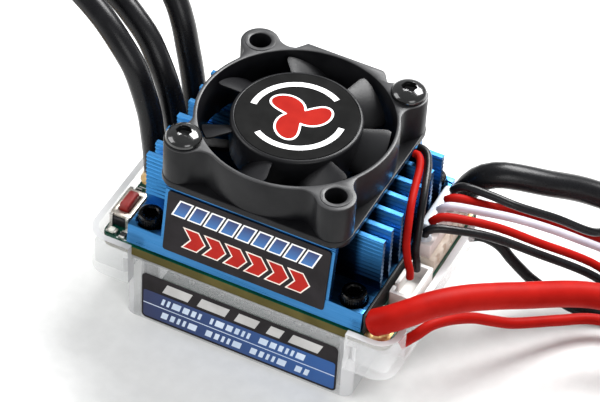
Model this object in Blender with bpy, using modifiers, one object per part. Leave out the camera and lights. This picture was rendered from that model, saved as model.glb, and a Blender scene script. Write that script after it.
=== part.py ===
"""Fan-cooled electronic speed controller for a brushless model-car motor.

A clear case holds two circuit boards. A finned heat sink is screwed down over
the power board, and a small square fan stands on its fins. Three thick wires
lead to the motor, two to the battery, and thin ones to the receiver, the
switch and a capacitor pack.

Every length below is in millimetres. Z is up, X runs along the long side from
the motor-wire end to the battery-wire end, and Y points to the back. The
origin is on the underside, straight below the fan's axis.
"""

import math

import bmesh
import bpy
from mathutils import Vector

MM = 0.001
GAP = 0.1

# The fan is a standard size, and the rest follows from it.
FAN_SIDE = 30.0
FAN_BOTTOM = 27.1
FAN_TOP = 34.9
FAN_HOLES = FAN_SIDE * 0.4
BORE_RADIUS = 14.3
HUB_RADIUS = 9.65
BLADES = 7
BLADE_EDGE = 18.0
BLADE_SPAN = 30.0
BLADE_TIP = 13.6

# The heat sink: one extrusion along X.
SINK_END = 18.93
SINK_BOTTOM = 14.2
SINK_FLOOR = 17.4
SINK_LEDGE = 17.6
SINK_TOP = FAN_BOTTOM - 0.13
FIN_THICKNESS = 1.0
FINS_Y = (-9.6, -6.9, -3.5, -0.2, 3.3, 6.8, 10.4)
FRONT_FOOT, FRONT_CREST = -16.0, -14.15
REAR_FOOT, REAR_CREST = 16.8, 14.95
PLATE_THICKNESS = 1.0
PLATE_END = 13.5

# The boards and the screws that hold the heat sink to them.
BOARD_TOP = SINK_BOTTOM - 0.5
BOARD_BOTTOM = BOARD_TOP - 1.6
BOARD_END = 23.3
SCREW_X = 16.4
SCREW_ROWS_Y = (-13.2, 14.0)

# The clear case.
BOX_END = 18.1
BOX_FRONT, BOX_REAR = -16.2, 16.8
BOX_TOP = BOARD_BOTTOM - 0.2
RIM_END = 24.9
RIM_FRONT, RIM_REAR = -18.0, 18.6
RIM_BOTTOM, RIM_TOP = 8.0, 15.1
RIM_START = 17.5
WALL = 1.0

# Wire diameters, and the side of the wires' path that each one takes.
POWER_WIRE = 4.0
MOTOR_WIRE = 3.7
LINK_WIRE = 1.7
LEAD_WIRE = 1.3
FAN_WIRE = 1.16


def clear_scene():
    for old in list(bpy.data.objects):
        bpy.data.objects.remove(old, do_unlink=True)


def new_collection(name):
    made = bpy.data.collections.new(name)
    bpy.context.scene.collection.children.link(made)
    return made


clear_scene()
PARTS = new_collection("speed_controller")
CUTTERS = new_collection("cutters")


def material(name, colour, roughness, metallic=0.0, alpha=1.0):
    made = bpy.data.materials.new(name)
    made.use_nodes = True
    shader = made.node_tree.nodes["Principled BSDF"]
    shader.inputs["Base Color"].default_value = (*colour, 1.0)
    shader.inputs["Roughness"].default_value = roughness
    shader.inputs["Metallic"].default_value = metallic
    shader.inputs["Alpha"].default_value = alpha
    return made


CLEAR = material("clear_polycarbonate", (0.9, 0.92, 0.93), 0.12, alpha=0.35)
LABEL = material("printed_label", (0.03, 0.03, 0.04), 0.35)
BOARD_GREEN = material("circuit_board", (0.02, 0.16, 0.10), 0.45)
CHIP = material("chip_plastic", (0.02, 0.02, 0.02), 0.5)
PAD_GREY = material("thermal_pad", (0.45, 0.47, 0.5), 0.8)
BLUE = material("blue_anodised", (0.03, 0.16, 0.45), 0.35, metallic=0.9)
BLACK_PLASTIC = material("black_plastic", (0.02, 0.02, 0.022), 0.5)
BLACK_STEEL = material("black_steel", (0.03, 0.03, 0.03), 0.25, metallic=0.9)
STEEL = material("bright_steel", (0.7, 0.7, 0.7), 0.3, metallic=1.0)
MAGNET = material("magnet_rubber", (0.06, 0.05, 0.05), 0.7)
COPPER = material("copper_winding", (0.5, 0.22, 0.08), 0.4, metallic=0.8)
BRASS = material("sintered_bronze", (0.5, 0.36, 0.16), 0.5, metallic=0.9)
WHITE_PLASTIC = material("white_plastic", (0.8, 0.8, 0.78), 0.45)
RED_PLASTIC = material("red_plastic", (0.5, 0.03, 0.03), 0.4)
RED_SILICONE = material("red_silicone", (0.7, 0.02, 0.01), 0.45)
BLACK_SILICONE = material("black_silicone", (0.015, 0.015, 0.017), 0.4)
WHITE_SILICONE = material("white_silicone", (0.8, 0.78, 0.8), 0.45)
GOLD = material("gold_plating", (0.75, 0.52, 0.2), 0.25, metallic=1.0)
LED_WHITE = material("led_lens", (0.85, 0.85, 0.8), 0.3)


def add_object(name, data, finish, collection=PARTS, place=(0.0, 0.0, 0.0)):
    made = bpy.data.objects.new(name, data)
    made.location = Vector(place) * MM
    collection.objects.link(made)
    if finish is not None:
        data.materials.append(finish)
    if collection is CUTTERS:
        made.hide_render = True
        made.display_type = "WIRE"
    return made


def from_bmesh(name, form, finish, collection, place):
    mesh = bpy.data.meshes.new(name)
    form.to_mesh(mesh)
    form.free()
    return add_object(name, mesh, finish, collection, place)


def box(name, low, high, finish=None, bevel=0.0, steps=2, collection=PARTS):
    """A box between two corners, with its origin at its middle."""
    middle = (Vector(low) + Vector(high)) / 2
    form = bmesh.new()
    bmesh.ops.create_cube(form, size=1.0)
    bmesh.ops.scale(form, vec=(Vector(high) - Vector(low)) * MM, verts=form.verts)
    made = from_bmesh(name, form, finish, collection, middle)
    if bevel:
        rounding = made.modifiers.new("rounding", "BEVEL")
        rounding.width = bevel * MM
        rounding.segments = steps
    return made


def cylinder(name, middle, radius, low, high, finish=None, sides=24, collection=PARTS):
    """An upright cylinder about (x, y), from low to high."""
    form = bmesh.new()
    bmesh.ops.create_cone(
        form,
        cap_ends=True,
        segments=sides,
        radius1=radius * MM,
        radius2=radius * MM,
        depth=(high - low) * MM,
    )
    place = (middle[0], middle[1], (low + high) / 2)
    made = from_bmesh(name, form, finish, collection, place)
    smooth(made.data)
    return made


def smooth(mesh):
    mesh.shade_smooth()
    mesh.set_sharp_from_angle(angle=math.radians(35))


def turned(name, profile, place, finish, sides=32, closed=False, collection=PARTS):
    """A body turned about Z from (radius, height) points, heights from place."""
    mesh = bpy.data.meshes.new(name)
    count = len(profile)
    edges = [(i, i + 1) for i in range(count - 1)]
    if closed:
        edges.append((count - 1, 0))
    points = [(radius * MM, 0.0, height * MM) for radius, height in profile]
    mesh.from_pydata(points, edges, [])
    made = add_object(name, mesh, finish, collection, place)
    screw = made.modifiers.new("turning", "SCREW")
    screw.axis = "Z"
    screw.steps = sides
    screw.render_steps = sides
    screw.use_merge_vertices = True
    screw.merge_threshold = 0.000001
    return made


def tube(name, inner, outer, low, high, finish, sides=32):
    """A round sleeve about the fan's axis."""
    profile = [(outer, high), (outer, low), (inner, low), (inner, high)]
    return turned(name, profile, (0, 0, 0), finish, sides, closed=True)


def prism(name, outline, low, high, finish=None, along="Z", collection=PARTS):
    """A flat outline made thick from low to high, along Z or along X."""
    curve = bpy.data.curves.new(name, "CURVE")
    curve.dimensions = "2D"
    curve.fill_mode = "BOTH"
    curve.extrude = (high - low) / 2 * MM
    spline = curve.splines.new("POLY")
    spline.points.add(len(outline) - 1)
    for point, (across, up) in zip(spline.points, outline):
        point.co = (across * MM, up * MM, 0.0, 1.0)
    spline.use_cyclic_u = True
    middle = (low + high) / 2
    if along == "Z":
        guide = add_object(name, curve, None, collection, (0, 0, middle))
    else:
        guide = add_object(name, curve, None, collection, (middle, 0, 0))
        guide.rotation_euler = (math.pi / 2, 0.0, math.pi / 2)
    return as_mesh(guide, finish)


def as_mesh(guide, finish):
    """Replaces a curve object by a welded mesh object in the same place."""
    bpy.context.view_layer.update()
    name = guide.name
    evaluated = guide.evaluated_get(bpy.context.evaluated_depsgraph_get())
    mesh = bpy.data.meshes.new_from_object(evaluated)
    form = bmesh.new()
    form.from_mesh(mesh)
    bmesh.ops.remove_doubles(form, verts=form.verts, dist=0.000002)
    bmesh.ops.recalc_face_normals(form, faces=form.faces)
    form.to_mesh(mesh)
    form.free()
    mesh.materials.clear()
    place = guide.matrix_world.copy()
    collection = guide.users_collection[0]
    bpy.data.objects.remove(guide, do_unlink=True)
    made = add_object(name, mesh, finish, collection)
    made.matrix_world = place
    mesh.name = name
    return made


def rounded_rectangle(left, right, front, back, radius, steps=4):
    corners = (
        (right - radius, back - radius, 0),
        (left + radius, back - radius, 90),
        (left + radius, front + radius, 180),
        (right - radius, front + radius, 270),
    )
    points = []
    for x, y, start in corners:
        for step in range(steps + 1):
            angle = math.radians(start + 90 * step / steps)
            points.append((x + radius * math.cos(angle), y + radius * math.sin(angle)))
    return points


def combine(target, tool, operation):
    for collection in tool.users_collection:
        collection.objects.unlink(tool)
    CUTTERS.objects.link(tool)
    tool.hide_render = True
    tool.display_type = "WIRE"
    boolean = target.modifiers.new(tool.name, "BOOLEAN")
    boolean.operation = operation
    boolean.solver = "EXACT"
    boolean.object = tool


def cut(target, tool):
    combine(target, tool, "DIFFERENCE")


def add(target, tool):
    combine(target, tool, "UNION")


def on_curve(route, steps=12):
    """Close points on a smooth curve through all the route's points."""
    points = [Vector(point) for point in route]
    ends = [2 * points[0] - points[1], *points, 2 * points[-1] - points[-2]]
    fine = []
    for before, start, end, after in zip(ends, ends[1:], ends[2:], ends[3:]):
        for step in range(steps):
            t = step / steps
            pull = (end - before) * t
            bend = (2 * before - 5 * start + 4 * end - after) * t**2
            twist = (3 * start - before - 3 * end + after) * t**3
            fine.append(start + (pull + bend + twist) / 2)
    fine.append(points[-1])
    return fine


def evenly(route, spacing):
    """Points at equal distances along the smooth curve through a route."""
    fine = on_curve(route)
    reached = [0.0]
    for start, end in zip(fine, fine[1:]):
        reached.append(reached[-1] + (end - start).length)
    count = max(4, round(reached[-1] / spacing))
    points, at = [], 0
    for number in range(count + 1):
        wanted = reached[-1] * number / count
        while at < len(fine) - 2 and reached[at + 1] < wanted:
            at += 1
        share = (wanted - reached[at]) / (reached[at + 1] - reached[at])
        points.append(fine[at].lerp(fine[at + 1], share))
    return points


def wire(name, route, diameter, finish):
    """A round wire along a route, with both end stretches kept straight."""
    inner = evenly(route[1:-1], 2.2 * diameter)
    points = [Vector(route[0]), *inner, Vector(route[-1])]
    curve = bpy.data.curves.new(name, "CURVE")
    curve.dimensions = "3D"
    curve.fill_mode = "FULL"
    curve.bevel_depth = diameter / 2 * MM
    curve.bevel_resolution = 2
    curve.use_fill_caps = True
    spline = curve.splines.new("POLY")
    spline.points.add(len(points) - 1)
    for point, place in zip(spline.points, points):
        point.co = (*(place * MM), 1.0)
    spline.use_smooth = True
    return add_object(name, curve, finish)


# ---- Case -------------------------------------------------------------------


def screw_places():
    rows = zip(("front", "rear"), SCREW_ROWS_Y)
    return [
        (f"{row}_{side}", sign * SCREW_X, y)
        for row, y in rows
        for side, sign in (("left", -1), ("right", 1))
    ]


def make_case():
    """One clear moulding: a deep box with a wider rim round each board end."""
    lower = rounded_rectangle(-BOX_END, BOX_END, BOX_FRONT, BOX_REAR, 1.5)
    case = prism("case_tray", lower, 0.0, BOX_TOP, CLEAR)
    rim_outline = (-RIM_END, RIM_END, RIM_FRONT, RIM_REAR)
    add(case, prism("rim", rounded_rectangle(*rim_outline, 3.4), RIM_BOTTOM, RIM_TOP))
    for name, front, back in (
        ("front_opening", RIM_FRONT - 1, BOX_FRONT),
        ("rear_opening", BOX_REAR, RIM_REAR + 1),
    ):
        cut(case, box(name, (-RIM_START, front, 7), (RIM_START, back, 20)))
    cut(case, box("top_opening", (-RIM_START, -20, BOX_TOP), (RIM_START, 20, 20)))
    inner = rounded_rectangle(
        -BOX_END + WALL, BOX_END - WALL, BOX_FRONT + WALL, BOX_REAR - WALL, 0.8
    )
    cut(case, prism("box_cavity", inner, WALL, 20))
    rim_inner = rounded_rectangle(
        -RIM_END + WALL, RIM_END - WALL, RIM_FRONT + WALL, RIM_REAR - WALL, 2.4
    )
    cut(case, prism("rim_cavity", rim_inner, BOX_TOP, 20))
    for name, sign in (("left_well", -1), ("right_well", 1)):
        ends = sorted((sign * BOX_END, sign * (RIM_END - WALL)))
        outline = rounded_rectangle(
            ends[0], ends[1], RIM_FRONT + WALL, RIM_REAR - WALL, 0.8
        )
        cut(case, prism(name, outline, RIM_BOTTOM + WALL, BOX_TOP + 1))
    for name, x, y in screw_places():
        add(case, cylinder(f"post_{name}", (x, y), 1.5, WALL / 2, BOX_TOP, sides=16))
    for name, x, y in screw_places():
        cut(case, cylinder(f"post_hole_{name}", (x, y), 1.0, 4.0, 20, sides=12))
    for name, y in (("red_notch", -10.9), ("black_notch", 13.1)):
        low, high = (RIM_END - 1.6, y - 2.1, 9.3), (RIM_END + 1, y + 2.1, 20)
        cut(case, box(name, low, high))


def make_case_label():
    outline = rounded_rectangle(-16.0, 16.0, 0.6, 9.8, 0.8)
    label = prism("case_label", outline, -0.05, 0.05, LABEL)
    label.rotation_euler = (math.pi / 2, 0.0, 0.0)
    label.location = Vector((0.0, BOX_FRONT - GAP - 0.05, 0.0)) * MM


# ---- Boards -----------------------------------------------------------------


def make_power_board():
    outline = rounded_rectangle(-BOARD_END, BOARD_END, -16.0, 16.6, 1.8)
    board = prism("power_board", outline, BOARD_BOTTOM, BOARD_TOP, BOARD_GREEN)
    for name, x, y in screw_places():
        cut(board, cylinder(f"board_hole_{name}", (x, y), 1.1, 10, 16, sides=12))


def make_lower_board():
    box("control_board", (-14.3, -13.5, 5.2), (14.3, 14.0, 6.4), BOARD_GREEN)
    box("board_header", (-8.0, 10.5, 6.5), (8.0, 13.0, BOARD_BOTTOM - GAP), CHIP)
    box("microcontroller", (-3.5, -6.5, 6.5), (3.5, 0.5, 7.6), CHIP, 0.15, 1)


def make_transistors():
    """Six power transistors in two rows under the power board."""
    top = BOARD_BOTTOM - GAP
    number = 0
    for y in (-8.0, 3.5):
        for x in (-10.0, 0.0, 10.0):
            number += 1
            low, high = (x - 2.6, y - 3.0, top - 1.1), (x + 2.6, y + 3.0, top)
            box(f"power_transistor_{number}", low, high, CHIP, 0.15, 1)


def make_thermal_pad():
    low, high = (-14.0, -11.0, BOARD_TOP + GAP), (14.0, 11.5, SINK_BOTTOM - GAP)
    box("thermal_pad", low, high, PAD_GREY)


def make_button():
    """A push button on the left end of the board, with a cap that travels down."""
    x, y, foot = -21.5, -10.3, BOARD_TOP + GAP
    box("button_base", (x - 1.7, y - 3.0, foot), (x + 1.7, y + 3.0, 15.5), CHIP)
    cover = box("button_cover", (x - 1.6, y - 2.9, 15.6), (x + 1.6, y + 2.9, 16.1), STEEL)
    cut(cover, box("cap_window", (x - 1.0, y - 2.0, 15), (x + 1.0, y + 2.0, 17)))
    low, high = (x - 0.85, y - 1.8, 15.85), (x + 0.85, y + 1.8, 17.1)
    box("button_cap", low, high, RED_PLASTIC, 0.2)


def make_led():
    foot = BOARD_TOP + GAP
    box("status_led", (-22.8, -15.1, foot), (-21.2, -14.2, foot + 0.6), LED_WHITE)


# ---- Heat sink --------------------------------------------------------------


def sink_outline():
    """The extrusion's section in Y and Z, clockwise from the front foot."""
    slant = (FRONT_CREST - FRONT_FOOT) / (SINK_TOP - SINK_BOTTOM)
    front_inner = FRONT_FOOT + PLATE_THICKNESS + slant * (SINK_FLOOR - SINK_BOTTOM)
    rear_inner = REAR_FOOT - PLATE_THICKNESS - slant * (SINK_FLOOR - SINK_BOTTOM)
    points = [
        (FRONT_FOOT, SINK_BOTTOM),
        (FRONT_CREST, SINK_TOP),
        (FRONT_CREST + PLATE_THICKNESS, SINK_TOP),
        (front_inner, SINK_FLOOR),
    ]
    for y in FINS_Y:
        front, back = y - FIN_THICKNESS / 2, y + FIN_THICKNESS / 2
        points += [(front, SINK_FLOOR), (front, SINK_TOP)]
        points += [(back, SINK_TOP), (back, SINK_FLOOR)]
    points += [
        (rear_inner, SINK_FLOOR),
        (REAR_CREST - PLATE_THICKNESS, SINK_TOP),
        (REAR_CREST, SINK_TOP),
        (REAR_FOOT, SINK_BOTTOM),
    ]
    return points


def make_heatsink():
    sink = prism("heatsink", sink_outline(), -SINK_END, SINK_END, BLUE, along="X")
    notches = {"front": (-20.0, -10.9), "rear": (11.7, 20.0)}
    for row, (front, back) in notches.items():
        for side, sign in (("left", -1), ("right", 1)):
            ends = sorted((sign * PLATE_END, sign * (SINK_END + 1)))
            low, high = (ends[0], front, SINK_LEDGE), (ends[1], back, 30)
            cut(sink, box(f"notch_{row}_{side}", low, high))
    for name, x, y in screw_places():
        cut(sink, cylinder(f"pocket_{name}", (x, y), 2.2, 16.6, 30, sides=24))
        cut(sink, cylinder(f"sink_hole_{name}", (x, y), 1.1, 10, 20, sides=12))


def make_heatsink_label():
    """A thin label on the slanted front plate."""
    rise, lean = SINK_TOP - SINK_BOTTOM, FRONT_CREST - FRONT_FOOT
    long = math.hypot(rise, lean)
    out_y, out_z = -rise / long, lean / long

    def on_plate(height, off):
        y = FRONT_FOOT + lean * (height - SINK_BOTTOM) / rise
        return (y + out_y * off, height + out_z * off)

    thick = GAP + 0.12
    low, high = 15.75, 26.2
    corners = [
        on_plate(low, GAP),
        on_plate(low, thick),
        on_plate(high, thick),
        on_plate(high, GAP),
    ]
    prism("heatsink_label", corners, -13.0, 13.0, LABEL, along="X")


def make_heatsink_screws():
    """Four socket-head screws through the heat sink and board into the case."""
    seat, head = 16.7, 19.1
    for name, x, y in screw_places():
        profile = [
            (0.0, head),
            (1.7, head),
            (1.9, head - 0.2),
            (1.9, seat),
            (0.8, seat),
            (0.8, 5.5),
            (0.0, 5.5),
        ]
        screw = turned(f"heatsink_screw_{name}", profile, (x, y, 0), BLACK_STEEL, 20)
        socket = cylinder(f"socket_{name}", (x, y), 1.15, head - 1.3, 21, sides=6)
        cut(screw, socket)


# ---- Fan --------------------------------------------------------------------


def make_fan_frame():
    """A round shroud on a square foot, with four lugs and a motor disc."""
    half = FAN_SIDE / 2
    foot = rounded_rectangle(-half, half, -half, half, 3.0)
    frame = prism("fan_frame", foot, FAN_BOTTOM, FAN_BOTTOM + 1.4, BLACK_PLASTIC)
    ring_top = FAN_TOP - 0.1
    add(frame, cylinder("shroud", (0, 0), 14.9, 28.0, ring_top, sides=56))
    for name, x, y in lug_places():
        lug = cylinder(f"lug_{name}", (x, y), 2.9, 28.0, FAN_TOP, sides=24)
        add(frame, lug)
    add(frame, box("rear_flat", (-6.4, 9.0, 28.0), (6.4, 14.95, FAN_TOP - 0.2)))
    cut(frame, cylinder("air_bore", (0, 0), BORE_RADIUS, 20, 40, sides=56))
    disc = cylinder("motor_disc", (0, 0), 8.2, FAN_BOTTOM + 0.05, 28.0, sides=32)
    add(frame, disc)
    for number in range(4):
        low, high = (7.0, -0.9, FAN_BOTTOM + 0.1), (14.6, 0.9, 27.9)
        strut = box(f"strut_{number + 1}", low, high)
        turn_about_axis(strut, 90 * number + 20)
        add(frame, strut)
    for name, x, y in lug_places():
        cut(frame, cylinder(f"lug_hole_{name}", (x, y), 1.6, 20, 40, sides=20))


def turn_about_axis(piece, degrees):
    angle = math.radians(degrees)
    x, y, z = piece.location
    piece.location = (
        x * math.cos(angle) - y * math.sin(angle),
        x * math.sin(angle) + y * math.cos(angle),
        z,
    )
    piece.rotation_euler = (0.0, 0.0, angle)


def lug_places():
    return [
        ("front_left", -FAN_HOLES, -FAN_HOLES),
        ("front_right", FAN_HOLES, -FAN_HOLES),
        ("rear_left", -FAN_HOLES, FAN_HOLES),
        ("rear_right", FAN_HOLES, FAN_HOLES),
    ]


def blade_sheet(form, degrees):
    """One pitched blade as an open sheet, dropping faster away from its top edge."""
    top, sweep = FAN_TOP - 0.9, 0.6
    radii = (HUB_RADIUS - 0.5, 10.9, 12.2, BLADE_TIP)
    rows = []
    for radius in radii:
        row = []
        for turn in (0.0, 0.25, 0.5, 0.75, 1.0):
            behind = BLADE_SPAN * turn
            lead = sweep * (radius - HUB_RADIUS)
            angle = math.radians(degrees + lead - behind)
            height = top - 0.06 * behind - 0.0022 * behind**2
            x, y = radius * math.cos(angle), radius * math.sin(angle)
            row.append(form.verts.new(Vector((x, y, height)) * MM))
        rows.append(row)
    for inner, outer in zip(rows, rows[1:]):
        for i in range(len(inner) - 1):
            form.faces.new((inner[i], outer[i], outer[i + 1], inner[i + 1]))


def make_impeller():
    """A cup-shaped hub with pitched blades, turning about the fan's axis."""
    top = FAN_TOP - 0.2
    profile = [
        (0.0, top),
        (9.2, top),
        (9.5, top - 0.12),
        (HUB_RADIUS, top - 0.4),
        (HUB_RADIUS, 29.0),
        (8.7, 29.0),
        (8.7, 33.5),
        (0.0, 33.5),
    ]
    hub = turned("fan_impeller", profile, (0, 0, 0), BLACK_PLASTIC, 48)
    form = bmesh.new()
    for number in range(BLADES):
        blade_sheet(form, BLADE_EDGE + 360 * number / BLADES)
    blades = from_bmesh("blades", form, None, CUTTERS, (0, 0, 0))
    thickness = blades.modifiers.new("thickness", "SOLIDIFY")
    thickness.thickness = 0.7 * MM
    thickness.offset = 0.0
    add(hub, blades)


def make_fan_inside():
    """The motor inside the hub: shaft, magnet ring, sleeve, stator and board."""
    cylinder("fan_shaft", (0, 0), 0.75, 28.3, 33.4, STEEL, 16)
    tube("fan_magnet_ring", 7.3, 8.4, 29.4, 33.0, MAGNET, 32)
    tube("fan_bearing_sleeve", 0.85, 2.3, 28.1, 33.0, BRASS, 20)
    tube("fan_circuit_board", 2.5, 7.8, 28.1, 28.8, BOARD_GREEN, 28)
    stator = tube("fan_stator", 2.5, 3.6, 29.0, 32.6, COPPER, 24)
    for number in range(4):
        low, high = (3.2, -1.5, 29.2), (6.2, 1.5, 32.4)
        arm = box(f"stator_arm_{number + 1}", low, high)
        turn_about_axis(arm, 90 * number)
        add(stator, arm)
        shoe = box(f"stator_shoe_{number + 1}", (5.6, -2.9, 29.1), (6.4, 2.9, 32.5))
        turn_about_axis(shoe, 90 * number)
        add(stator, shoe)


def make_hub_label():
    cylinder("fan_hub_label", (0, 0), 9.0, FAN_TOP - 0.13, FAN_TOP - 0.03, LABEL, 40)


def make_fan_screws():
    """Two button-head screws that bite between the fins, in opposite lugs."""
    seat = FAN_TOP + GAP
    for name, x, y in (lug_places()[0], lug_places()[3]):
        profile = [
            (0.0, seat + 1.5),
            (1.1, seat + 1.42),
            (1.9, seat + 1.05),
            (2.45, seat + 0.5),
            (2.65, seat),
            (0.95, seat),
            (0.95, 22.5),
            (0.0, 22.5),
        ]
        screw = turned(f"fan_screw_{name}", profile, (x, y, 0), BLACK_STEEL, 24)
        socket = cylinder(f"fan_socket_{name}", (x, y), 1.2, seat + 0.4, 40, sides=6)
        cut(screw, socket)


FAN_RED_ROUTE = [
    (15.4, 7.7, 28.2), (16.0, 7.6, 28.3), (16.8, 6.7, 28.3), (17.5, 4.9, 28.1),
    (18.3, 1.8, 28.0), (19.25, -1.6, 27.65), (20.0, -3.8, 26.1), (20.5, -5.2, 23.7),
    (21.1, -5.8, 21.3), (21.7, -5.9, 19.3), (21.8, -5.9, 17.9),
]  # fmt: skip

FAN_BLACK_ROUTE = [
    (15.4, 9.3, 28.1), (16.1, 9.2, 28.2), (17.2, 8.4, 28.2), (18.4, 6.0, 28.1),
    (19.6, 2.4, 27.7), (20.6, -0.8, 26.3), (21.2, -2.7, 24.0), (21.5, -3.8, 21.5),
    (21.9, -4.0, 19.4), (22.0, -4.0, 17.9),
]  # fmt: skip


def make_fan_lead():
    """The fan's own two wires, from its side down to a plug on the board."""
    wire("fan_wire_red", FAN_RED_ROUTE, FAN_WIRE, RED_SILICONE)
    wire("fan_wire_black", FAN_BLACK_ROUTE, FAN_WIRE, BLACK_SILICONE)
    header = box(
        "fan_header", (19.9, -8.7, BOARD_TOP + GAP), (23.6, -1.3, 16.6), WHITE_PLASTIC
    )
    cut(header, box("header_cavity", (20.5, -8.1, 14.4), (23.0, -1.9, 20)))
    low, high = (20.6, -8.0, 14.5), (22.9, -2.0, 17.8)
    box("fan_plug", low, high, WHITE_PLASTIC, 0.2, 1)


# ---- Free leads -------------------------------------------------------------

# Each route runs from the board to what is on the wire's end.
MOTOR_ROUTES = [
    [
        (-21.7, -1.4, 13.9), (-21.9, -1.3, 16.0), (-22.4, -0.9, 18.7),
        (-22.8, -0.8, 21.5), (-23.5, -0.5, 25.0), (-24.8, -0.3, 29.0),
        (-26.4, -0.1, 32.8), (-28.8, 0.3, 35.8), (-31.4, 1.0, 38.1),
        (-34.1, 1.8, 39.7), (-37.1, 2.8, 40.8), (-42.5, 5.4, 41.2),
        (-49.4, 8.0, 38.4), (-55.4, 9.8, 31.8), (-58.8, 10.2, 23.0),
        (-59.4, 9.6, 15.6), (-58.8, 7.8, 9.0), (-58.4, 4.0, 4.3),
        (-58.4, -1.2, 2.5), (-58.4, -3.9, 2.4),
    ],
    [
        (-21.2, 3.6, 13.9), (-21.1, 3.7, 17.0), (-21.2, 3.6, 20.4),
        (-22.1, 4.1, 23.6), (-23.5, 4.8, 27.0), (-25.5, 5.5, 30.5),
        (-27.7, 6.4, 33.2), (-30.5, 7.2, 35.4), (-33.5, 8.2, 36.9),
        (-40.5, 11.0, 38.0), (-47.8, 13.6, 36.4), (-55.0, 14.8, 31.0),
        (-60.8, 14.2, 23.6), (-63.6, 12.4, 15.8), (-63.4, 9.0, 9.0),
        (-63.2, 4.0, 4.3), (-63.2, -1.2, 2.5), (-63.2, -3.9, 2.4),
    ],
    [
        (-21.2, 8.4, 13.9), (-21.1, 8.7, 18.0), (-21.2, 9.3, 22.5),
        (-22.2, 10.2, 26.0), (-23.4, 11.0, 29.5), (-24.6, 11.7, 33.0),
        (-26.6, 12.7, 36.4), (-31.6, 15.0, 40.6), (-39.0, 17.4, 42.5),
        (-47.0, 19.0, 41.0), (-55.0, 19.4, 36.0), (-61.8, 18.6, 28.5),
        (-66.6, 16.4, 20.0), (-68.4, 13.0, 13.4), (-68.2, 9.0, 8.2),
        (-68.0, 4.0, 4.3), (-68.0, -1.2, 2.5), (-68.0, -3.9, 2.4),
    ],
]  # fmt: skip

BATTERY_RED_ROUTE = [
    (20.6, -14.6, 16.0), (21.9, -14.3, 16.8), (23.4, -13.4, 17.5), (25.0, -12.0, 18.0),
    (26.8, -9.8, 18.2), (30.0, -5.9, 17.6), (33.0, -2.6, 16.6), (36.2, 0.7, 15.4),
    (44.4, 9.6, 11.5),
    (54.0, 13.6, 8.6), (63.5, 13.3, 6.0), (71.8, 9.6, 4.5), (77.2, 4.2, 3.9),
    (78.6, 0.9, 3.9), (78.6, -1.6, 3.9),
]  # fmt: skip

BATTERY_BLACK_ROUTE = [
    (20.9, 14.9, 15.9), (21.4, 15.1, 17.6), (22.4, 15.5, 19.3), (23.8, 16.0, 20.5),
    (25.6, 16.8, 21.0), (28.0, 18.2, 20.5), (31.6, 20.6, 19.0), (37.2, 25.6, 15.5),
    (46.5, 29.6, 11.0),
    (57.0, 29.6, 6.0), (67.5, 25.6, 2.9), (76.5, 18.0, 2.1), (83.0, 9.5, 2.4),
    (85.2, 2.5, 3.7), (85.2, -1.6, 3.9),
]  # fmt: skip

LINK_RED_ROUTE = [
    (23.5, -11.9, 10.4), (25.2, -10.0, 11.5), (26.5, -7.6, 12.0), (28.1, -4.4, 11.0),
    (30.3, -1.0, 9.3), (32.5, 1.2, 7.8), (35.1, 3.8, 6.2), (39.7, 9.0, 4.3),
    (43.9, 13.1, 3.0), (48.8, 14.8, 2.2), (53.6, 13.2, 2.6), (56.6, 9.2, 3.9),
    (57.2, 5.2, 4.5),
]  # fmt: skip

LINK_BLACK_ROUTE = [
    (23.5, 12.6, 10.9), (25.4, 13.2, 11.3), (27.8, 14.0, 10.0), (29.9, 14.1, 8.0),
    (31.7, 14.4, 6.2), (33.8, 14.8, 4.4), (39.4, 15.0, 2.0), (42.9, 15.7, 1.5),
    (49.6, 17.6, 1.3), (56.6, 15.8, 2.1), (60.8, 10.4, 3.8), (61.4, 5.2, 4.5),
]  # fmt: skip

SIGNAL_BLACK_ROUTE = [
    (20.6, 11.5, 19.5), (20.7, 11.5, 20.2), (22.2, 12.0, 21.0), (25.9, 12.8, 20.4),
    (30.0, 14.1, 18.9), (34.8, 17.9, 15.5), (39.3, 22.1, 11.2), (41.2, 26.6, 8.6),
    (43.8, 31.4, 4.6), (48.2, 36.4, 1.4), (56.0, 40.8, 0.75), (65.0, 42.9, 0.75),
    (75.5, 42.0, 0.75), (84.0, 38.0, 0.75), (88.4, 33.0, 1.2), (89.0, 29.4, 1.5),
]  # fmt: skip

SIGNAL_RED_ROUTE = [
    (20.6, 9.3, 19.5), (20.7, 9.3, 20.1), (22.2, 10.1, 20.3), (25.7, 12.7, 18.3),
    (29.5, 15.5, 16.4), (34.4, 19.3, 13.0), (38.9, 23.2, 9.1), (42.8, 27.6, 4.9),
    (46.6, 32.2, 1.8), (51.6, 36.6, 0.8), (57.6, 39.2, 0.75), (65.0, 41.1, 0.75),
    (74.8, 40.2, 0.75), (82.4, 36.4, 0.75), (86.0, 32.6, 1.2), (86.5, 29.4, 1.5),
]  # fmt: skip

SIGNAL_WHITE_ROUTE = [
    (20.6, 6.9, 19.5), (20.7, 6.9, 20.2), (22.2, 7.7, 20.7), (27.0, 10.4, 19.3),
    (30.7, 12.5, 18.0), (35.4, 16.4, 14.5), (40.0, 20.3, 10.5), (44.6, 25.6, 5.2),
    (48.6, 30.6, 1.8), (53.4, 34.8, 0.8), (58.8, 37.4, 0.75), (65.0, 39.2, 0.75),
    (73.8, 38.4, 0.75), (80.6, 35.0, 0.75), (83.6, 32.2, 1.2), (84.0, 29.4, 1.5),
]  # fmt: skip

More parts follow.
